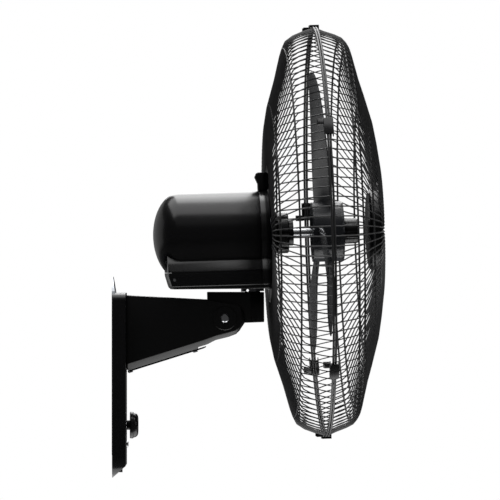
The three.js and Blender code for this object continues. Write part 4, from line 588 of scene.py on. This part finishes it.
disc = turned("disc", [(0, 156.5), (53, 156.5), (53.1, 157), (52.6, 157.4), (51, 157.8), (49.6, 157.5), (49, 157.4),
                       (30, 158.2), (0, 158.7)])
done(disc, "badge", "head", "black_gloss", "badge_disc", smooth=25)

cup = turned("cup", [
    (0, 140.3), (20, 140.6), (38, 141.6), (45.5, 142.7), (48.5, 145.4), (48.5, 153.8), (49, 154.3), (57, 154.3),
    (58, 155.2), (58, 156.1), (47, 156.1), (46.5, 155.6), (46.5, 146), (44.5, 144.7), (37, 143.6), (20, 142.6),
    (0, 142.3)])
done(softened(cup, 0.3, 2, 30), "badge_holder", "head", "black_gloss", "badge_cup")

# %% [markdown]
# ## Clips round the rim
# Six moulded clips bridge the two rim wires. One is drawn as a channel with a finger tab and its edges are rounded;
# then it is copied six times, each copy turned to its place, because each one opens on its own hinge.

# %% Clips
HINGE_FORWARD, HINGE_RADIUS = 85.6, 245.7
CLIP_ANGLES = [0, -60, -132, 180, 132, 84]
clip = prism("clip", [
    (4.3, 5.5), (-7.1, 5.5), (-7.1, -2.5), (-5.8, -2.5), (-5.8, 3), (3, 3), (3, -2.5), (4.3, -2.5)],
    "across", -11, 11)
combined(clip, prism("tab", [(-6, -1.7), (-15, -1.7), (-15, 1.6), (-13.4, 3), (-6, 3)], "across", 4, 11))
softened(clip, 0.5, 3, 40)
for number, angle in enumerate(CLIP_ANGLES, 1):
    turn = radians(angle)
    place = shifted(HINGE_RADIUS * sin(turn), HINGE_FORWARD, HINGE_RADIUS * cos(turn)) @ Matrix.Rotation(turn, 4, "Y")
    done(copied(clip, place), f"clip_{number}", f"rim_clip_{number}", "black_gloss", f"rim_clip_{number}")
bpy.data.objects.remove(clip)

# %% [markdown]
# ## Fan blades
# A blade is a twisted, cupped sheet. We start from a grid of corners, move each corner to its place on the drawing
# (rows run out from the hub, columns from the trailing to the leading edge), give it a thickness and let Subdivision
# Surface turn it into a smooth sweep. The other two blades are copies, and all are joined to the turned hub.

# %% Blades
BLADE_ROWS = [  # radius, then angle and distance forward of the trailing and of the leading edge
    (33, -44, 14.4, 40, -5), (75, -38, 11.5, 37, -4.3), (110, -31, 9, 33, -3.3), (142, -25, 6, 29, -2.6),
    (170, -19, 2.6, 25.5, -2.5), (188, -12, -0.8, 22, -3), (195, -6, -3.2, 18, -3.7)]
BLADE_COLUMNS = 7
BLADE_CAMBER = 2


def blade_corner(row, column):
    radius, back_angle, back_forward, front_angle, front_forward = BLADE_ROWS[row]
    share = column / (BLADE_COLUMNS - 1)
    turn = radians(back_angle + (front_angle - back_angle) * share)
    forward = back_forward + (front_forward - back_forward) * share - BLADE_CAMBER * sin(pi * share)
    return placed(radius * sin(turn), RIM_FORWARD + forward, radius * cos(turn))


only(None)
rows = len(BLADE_ROWS)
bpy.ops.mesh.primitive_grid_add(x_subdivisions=BLADE_COLUMNS - 1, y_subdivisions=rows - 1, size=0.1)
blade = bpy.context.object
start = [corner.co.copy() for corner in blade.data.vertices]
editing(blade, select="DESELECT")
for number, spot in enumerate(start):
    pick("VERT", lambda corner: corner.index == number)
    bpy.ops.transform.translate(value=blade_corner(number // BLADE_COLUMNS, number % BLADE_COLUMNS) - spot)
modified(blade, "SOLIDIFY", thickness=2 * MM, offset=0)
modified(blade, "SUBSURF", levels=3, render_levels=3)
sealed(blade)
print("blade", [round(value / MM) for value in blade.dimensions])

# %% Hub and rotor
hub = turned("hub", [
    (4.8, 79.4), (11, 79.4), (11, 107.5), (31.5, 107.5), (33.4, 106), (33.4, 74.6), (33.9, 74.1), (35.9, 74.1),
    (36.4, 74.6), (36.4, 107.6), (36, 110.6), (35, 112.1), (32, 112.1), (22, 112.1), (20, 111.4), (4.8, 111.4),
    (4.8, 79.4)], steps=128)
for turn in (0, 120, 240):
    combined(hub, copied(blade, Matrix.Rotation(radians(turn), 4, "Y")))
bpy.data.objects.remove(blade)
done(hub, "rotor_blades", "rotor", "smoked_blade", "fan_blades", smooth=40)

spinner = turned("spinner", [
    (4.8, 112.4), (15.6, 112.4), (15.3, 127), (14.8, 129.4), (13.4, 130.6), (11, 130.9), (0, 130.9), (0, 128.9),
    (4.8, 128.9), (4.8, 112.4)])
cut(spinner, flutes(2.6, 17.5, 10, 112, 132))
done(softened(spinner, 0.35, 2, 40), "spinner", "rotor", "black_gloss", "spinner_nut")

# %% [markdown]
# ## Finishes: shared effects
# Moulded plastic, plated steel and a casting look different, but they share a few effects: a fine grain that breaks
# up a reflection, uneven gloss where hands and cloths have been, dust that settles on what faces up, and streaks on
# metal. Each effect is a node group, built once, whose sockets let a material set its own amount.

# %% Helpers for node trees


def node(tree, kind, settings=(), **inputs):
    made = tree.nodes.new(kind)
    for setting, value in dict(settings).items():
        setattr(made, setting, value)
    for socket, value in inputs.items():
        target = made.inputs[socket.replace("_", " ")]
        if isinstance(value, bpy.types.NodeSocket):
            tree.links.new(value, target)
        else:
            target.default_value = value
    return made


def effect(name, inputs, outputs):
    tree = bpy.data.node_groups.new(name, "ShaderNodeTree")
    for socket, kind, value in inputs:
        tree.interface.new_socket(socket, in_out="INPUT", socket_type=kind).default_value = value
    for socket, kind in outputs:
        tree.interface.new_socket(socket, in_out="OUTPUT", socket_type=kind)
    return tree, tree.nodes.new("NodeGroupInput").outputs, tree.nodes.new("NodeGroupOutput").inputs


def calculate(tree, operation, first, second, clamp=False):
    made = node(tree, "ShaderNodeMath", {"operation": operation, "use_clamp": clamp})
    for socket, value in zip(made.inputs, (first, second)):
        if isinstance(value, bpy.types.NodeSocket):
            tree.links.new(value, socket)
        else:
            socket.default_value = value
    return made.outputs[0]


def spread(tree, value, low, high, to_low=0.0, to_high=1.0):
    made = node(tree, "ShaderNodeMapRange", {"clamp": True})
    for socket, entry in zip(made.inputs, (value, low, high, to_low, to_high)):
        if isinstance(entry, bpy.types.NodeSocket):
            tree.links.new(entry, socket)
        else:
            socket.default_value = entry
    return made.outputs[0]


# %% Grain, gloss, dust and streaks
FLOAT, COLOUR = "NodeSocketFloat", "NodeSocketColor"

grain, given, result = effect(
    "moulded_grain", [("Scale", FLOAT, 900), ("Waviness", FLOAT, 0.3)], [("Height", FLOAT)])
coordinates = node(grain, "ShaderNodeTexCoord").outputs["Object"]
fine = node(grain, "ShaderNodeTexNoise", Vector=coordinates, Scale=given["Scale"], Detail=3.0).outputs["Fac"]
broad = node(grain, "ShaderNodeTexNoise", Vector=coordinates, Scale=38.0, Detail=1.0).outputs["Fac"]
grain.links.new(calculate(grain, "ADD", fine, calculate(grain, "MULTIPLY", broad, given["Waviness"])), result["Height"])

gloss, given, result = effect(
    "handled_gloss", [("Roughness", FLOAT, 0.3), ("Spread", FLOAT, 0.1)], [("Roughness", FLOAT)])
coordinates = node(gloss, "ShaderNodeTexCoord").outputs["Object"]
smears = node(gloss, "ShaderNodeTexNoise", Vector=coordinates, Scale=22.0, Detail=5.0, Distortion=0.6).outputs["Fac"]
centred = calculate(gloss, "SUBTRACT", smears, 0.5)
change = calculate(gloss, "MULTIPLY", centred, given["Spread"])
gloss.links.new(calculate(gloss, "ADD", given["Roughness"], change, True), result["Roughness"])

dust, given, result = effect(
    "settled_dust", [("Colour", COLOUR, (0.02, 0.02, 0.02, 1)), ("Amount", FLOAT, 0.05)], [("Colour", COLOUR)])
facing = node(dust, "ShaderNodeSeparateXYZ", Vector=node(dust, "ShaderNodeNewGeometry").outputs["Normal"]).outputs["Z"]
coordinates = node(dust, "ShaderNodeTexCoord").outputs["Object"]
specks = node(dust, "ShaderNodeTexNoise", Vector=coordinates, Scale=160.0, Detail=6.0).outputs["Fac"]
upward = calculate(dust, "MULTIPLY", spread(dust, facing, 0.45, 1.0), spread(dust, specks, 0.42, 0.72))
mixed = node(dust, "ShaderNodeMix", {"data_type": "RGBA"})
dust.links.new(calculate(dust, "MULTIPLY", upward, given["Amount"]), mixed.inputs["Factor"])
dust.links.new(given["Colour"], mixed.inputs[6])
mixed.inputs[7].default_value = (0.42, 0.4, 0.36, 1)
dust.links.new(mixed.outputs[2], result["Colour"])

streaks, given, result = effect(
    "streaks", [("Along", FLOAT, 40), ("Over", FLOAT, 1400)], [("Height", FLOAT), ("Mask", FLOAT)])
coordinates = node(streaks, "ShaderNodeTexCoord").outputs["Object"]
stretch = node(streaks, "ShaderNodeCombineXYZ", X=given["Along"], Y=given["Over"], Z=given["Over"]).outputs[0]
scaled = node(streaks, "ShaderNodeVectorMath", {"operation": "MULTIPLY"})
streaks.links.new(coordinates, scaled.inputs[0])
streaks.links.new(stretch, scaled.inputs[1])
lines = node(streaks, "ShaderNodeTexNoise", Vector=scaled.outputs[0], Scale=1.0, Detail=3.0).outputs["Fac"]
streaks.links.new(lines, result["Height"])
streaks.links.new(spread(streaks, lines, 0.35, 0.65), result["Mask"])

# %% [markdown]
# ## Finishes: the materials
# Each finish is a short recipe: a colour, a roughness, how metallic it is, and how much of each effect it takes. A
# table keeps the recipes next to each other, where they are easy to compare and to tune against the picture.

# %% Materials
RECIPES = {  # colour, roughness, its spread, metallic, specular, grain scale, grain depth in mm, dust
    "black_gloss": ((0.002, 0.002, 0.0026), 0.24, 0.08, 0, 0.5, 1100, 0.003, 0.02),
    "black_satin": ((0.002, 0.002, 0.0024), 0.36, 0.1, 0, 0.45, 1500, 0.006, 0.02),
    "black_wire": ((0.022, 0.022, 0.023), 0.42, 0.1, 0, 0.6, 700, 0.004, 0.02),
    "zinc_plate": ((0.5, 0.52, 0.55), 0.34, 0.16, 1, 0.5, 260, 0.004, 0.1),
    "bright_steel": ((0.62, 0.63, 0.65), 0.2, 0.12, 1, 0.5, 800, 0.002, 0.05),
    "cast_metal": ((0.4, 0.41, 0.43), 0.42, 0.18, 1, 0.5, 420, 0.03, 0.15),
    "bronze": ((0.46, 0.31, 0.12), 0.36, 0.16, 1, 0.5, 900, 0.01, 0.05),
    "core_steel": ((0.17, 0.17, 0.19), 0.5, 0.14, 0.9, 0.5, 500, 0.02, 0.1),
    "copper_wire": ((0.48, 0.17, 0.06), 0.3, 0.12, 0.9, 0.5, 600, 0.02, 0.1),
    "cream_plastic": ((0.7, 0.66, 0.54), 0.45, 0.12, 0, 0.5, 900, 0.006, 0.1),
    "smoked_blade": ((0.022, 0.024, 0.029), 0.22, 0.12, 0, 0.5, 500, 0.003, 0.04),
}
STREAKED = {"zinc_plate": (60, 1500), "bright_steel": (90, 2200), "core_steel": (2000, 30), "copper_wire": (30, 1400)}


def finish(name):
    colour, rough, uneven, metallic, specular, scale, depth, dusty = RECIPES[name]
    material = bpy.data.materials.new(name)
    material.use_nodes = True
    tree = material.node_tree
    shader = tree.nodes["Principled BSDF"]
    shader.inputs["Metallic"].default_value = metallic
    shader.inputs["Specular IOR Level"].default_value = specular
    height = node(tree, "ShaderNodeGroup", {"node_tree": grain}, Scale=scale, Waviness=0.6).outputs["Height"]
    tint = (*colour, 1)
    if name in STREAKED:
        along, over = STREAKED[name]
        lines = node(tree, "ShaderNodeGroup", {"node_tree": streaks}, Along=along, Over=over)
        height = calculate(tree, "ADD", height, lines.outputs["Height"])
        shade = node(tree, "ShaderNodeMix", {"data_type": "RGBA"})
        tree.links.new(lines.outputs["Mask"], shade.inputs["Factor"])
        shade.inputs[6].default_value = (*[0.8 * part for part in colour], 1)
        shade.inputs[7].default_value = (*[min(1.12 * part, 1) for part in colour], 1)
        tint = shade.outputs[2]
    dusted = node(tree, "ShaderNodeGroup", {"node_tree": dust}, Colour=tint, Amount=dusty)
    tree.links.new(dusted.outputs["Colour"], shader.inputs["Base Color"])
    handled = node(tree, "ShaderNodeGroup", {"node_tree": gloss}, Roughness=rough, Spread=uneven)
    tree.links.new(handled.outputs["Roughness"], shader.inputs["Roughness"])
    bump = node(tree, "ShaderNodeBump", Strength=0.5, Distance=depth * MM, Height=height)
    tree.links.new(bump.outputs["Normal"], shader.inputs["Normal"])
    return material


finishes = {name: finish(name) for name in RECIPES}
for name, slot_name in finish_of.items():
    bpy.data.objects[name].data.materials.clear()
    bpy.data.objects[name].data.materials.append(finishes[slot_name])

# %% [markdown]
# The smoked blades let a little light through. That is a plain number on the shader itself, so it is set there.

# %% Smoked plastic
blade_shader = finishes["smoked_blade"].node_tree.nodes["Principled BSDF"]
BLADE_TRANSMISSION, BLADE_IOR = 0.25, 1.5
blade_shader.inputs["Transmission Weight"].default_value = BLADE_TRANSMISSION
blade_shader.inputs["IOR"].default_value = BLADE_IOR

# %% [markdown]
# ## Dressing the solids that stay
# Screws, the motor and the gears keep their solids, because their shapes are right. The record says which material
# each of them has, so the new finishes are handed out from that list.

# %% Finishes for the frame's own solids
SLOTS = {part["node"]: part.get("material_slot") or part.get("material") for part in frame["record"]["subparts"]}
for name, solid in frame["nodes"].items():
    solid.data.materials.clear()
    solid.data.materials.append(finishes[SLOTS[name]])
print(len(SLOTS), "solids have a finish")

# %% [markdown]
# ## Studio
# The picture has a pure white ground, deep blacks and one broad reflection along the top of the housing. So there is
# a wide softbox overhead with a brighter one behind it, dark surroundings, a narrow light below for the flats that
# face down, and a weak one at the back for the dome. The white behind the fan is for the camera and for what is seen
# through the smoked blades, which the Light Path node tells apart. The floor is pale for the camera, and dark where it
# would show in the gloss.

# %% World and floor
world = bpy.data.worlds.new("studio")
bpy.context.scene.world = world
world.use_nodes = True
sky = world.node_tree
path = node(sky, "ShaderNodeLightPath").outputs
GLOSS_SHARE, AMBIENT = 0.02, 0.06
seen = calculate(sky, "MAXIMUM", path["Is Camera Ray"], path["Is Transmission Ray"])
seen = calculate(sky, "MAXIMUM", seen, calculate(sky, "MULTIPLY", path["Is Glossy Ray"], GLOSS_SHARE))
sky.links.new(calculate(sky, "MAXIMUM", seen, AMBIENT), sky.nodes["Background"].inputs["Strength"])
sky.nodes["Background"].inputs["Color"].default_value = (1, 1, 1, 1)

FLOOR_HEIGHT, FLOOR_RADIUS, FLOOR_ROUGHNESS = -0.45, 3, 0.8
MIRRORED_SHARE = 0.1  # how much of the floor's paleness its reflection keeps
only(None)
bpy.ops.mesh.primitive_circle_add(vertices=96, radius=FLOOR_RADIUS, fill_type="NGON", location=(0, 0, FLOOR_HEIGHT))
floor = bpy.context.object
floor.name = "floor"
bpy.ops.object.transform_apply(location=True)
pale = bpy.data.materials.new("pale_floor")
pale.use_nodes = True
pale.node_tree.nodes["Principled BSDF"].inputs["Roughness"].default_value = FLOOR_ROUGHNESS
paper = node(pale.node_tree, "ShaderNodeTexNoise", Scale=3.0, Detail=4.0).outputs["Fac"]
shade = spread(pale.node_tree, paper, 0.3, 0.7, 0.8, 0.83)
mirrored = node(pale.node_tree, "ShaderNodeLightPath").outputs["Is Glossy Ray"]
shade = calculate(pale.node_tree, "MULTIPLY", shade, spread(pale.node_tree, mirrored, 0, 1, 1, MIRRORED_SHARE))
pale.node_tree.links.new(shade, pale.node_tree.nodes["Principled BSDF"].inputs["Base Color"])
floor.data.materials.append(pale)

# %% Softboxes


def softbox(name, place, aim, width, height, watts):
    lamp = bpy.data.lights.new(name, "AREA")
    lamp.shape, lamp.size, lamp.size_y, lamp.energy = "RECTANGLE", width, height, watts
    box = bpy.data.objects.new(name, lamp)
    bpy.context.scene.collection.objects.link(box)
    box.location = place
    box.rotation_euler = (Vector(aim) - Vector(place)).to_track_quat("-Z", "Y").to_euler()
    box.visible_camera = False
    return box


softbox("overhead", (0.25, -0.15, 1.7), (0.25, -0.15, 0), 2.4, 3.0, 44)
softbox("overhead_back", (1.3, -0.15, 1.5), (0, -0.1, 0.2), 1.0, 2.6, 26)
softbox("overhead_near", (-1.9, -0.15, 1.7), (-1.9, -0.15, 0), 1.7, 3.0, 2.4)
softbox("below", (0.1, -0.15, -0.42), (0.1, -0.15, 0.1), 0.5, 0.9, 3)
softbox("rear", (1.2, 1.1, 0.3), (0, 0.1, 0.17), 2.0, 1.0, 1.6)
softbox("front", (-1.2, -2.4, 0.9), (0, -0.2, 0.1), 1.0, 1.4, 6)
bpy.context.scene.view_settings.view_transform = "Standard"
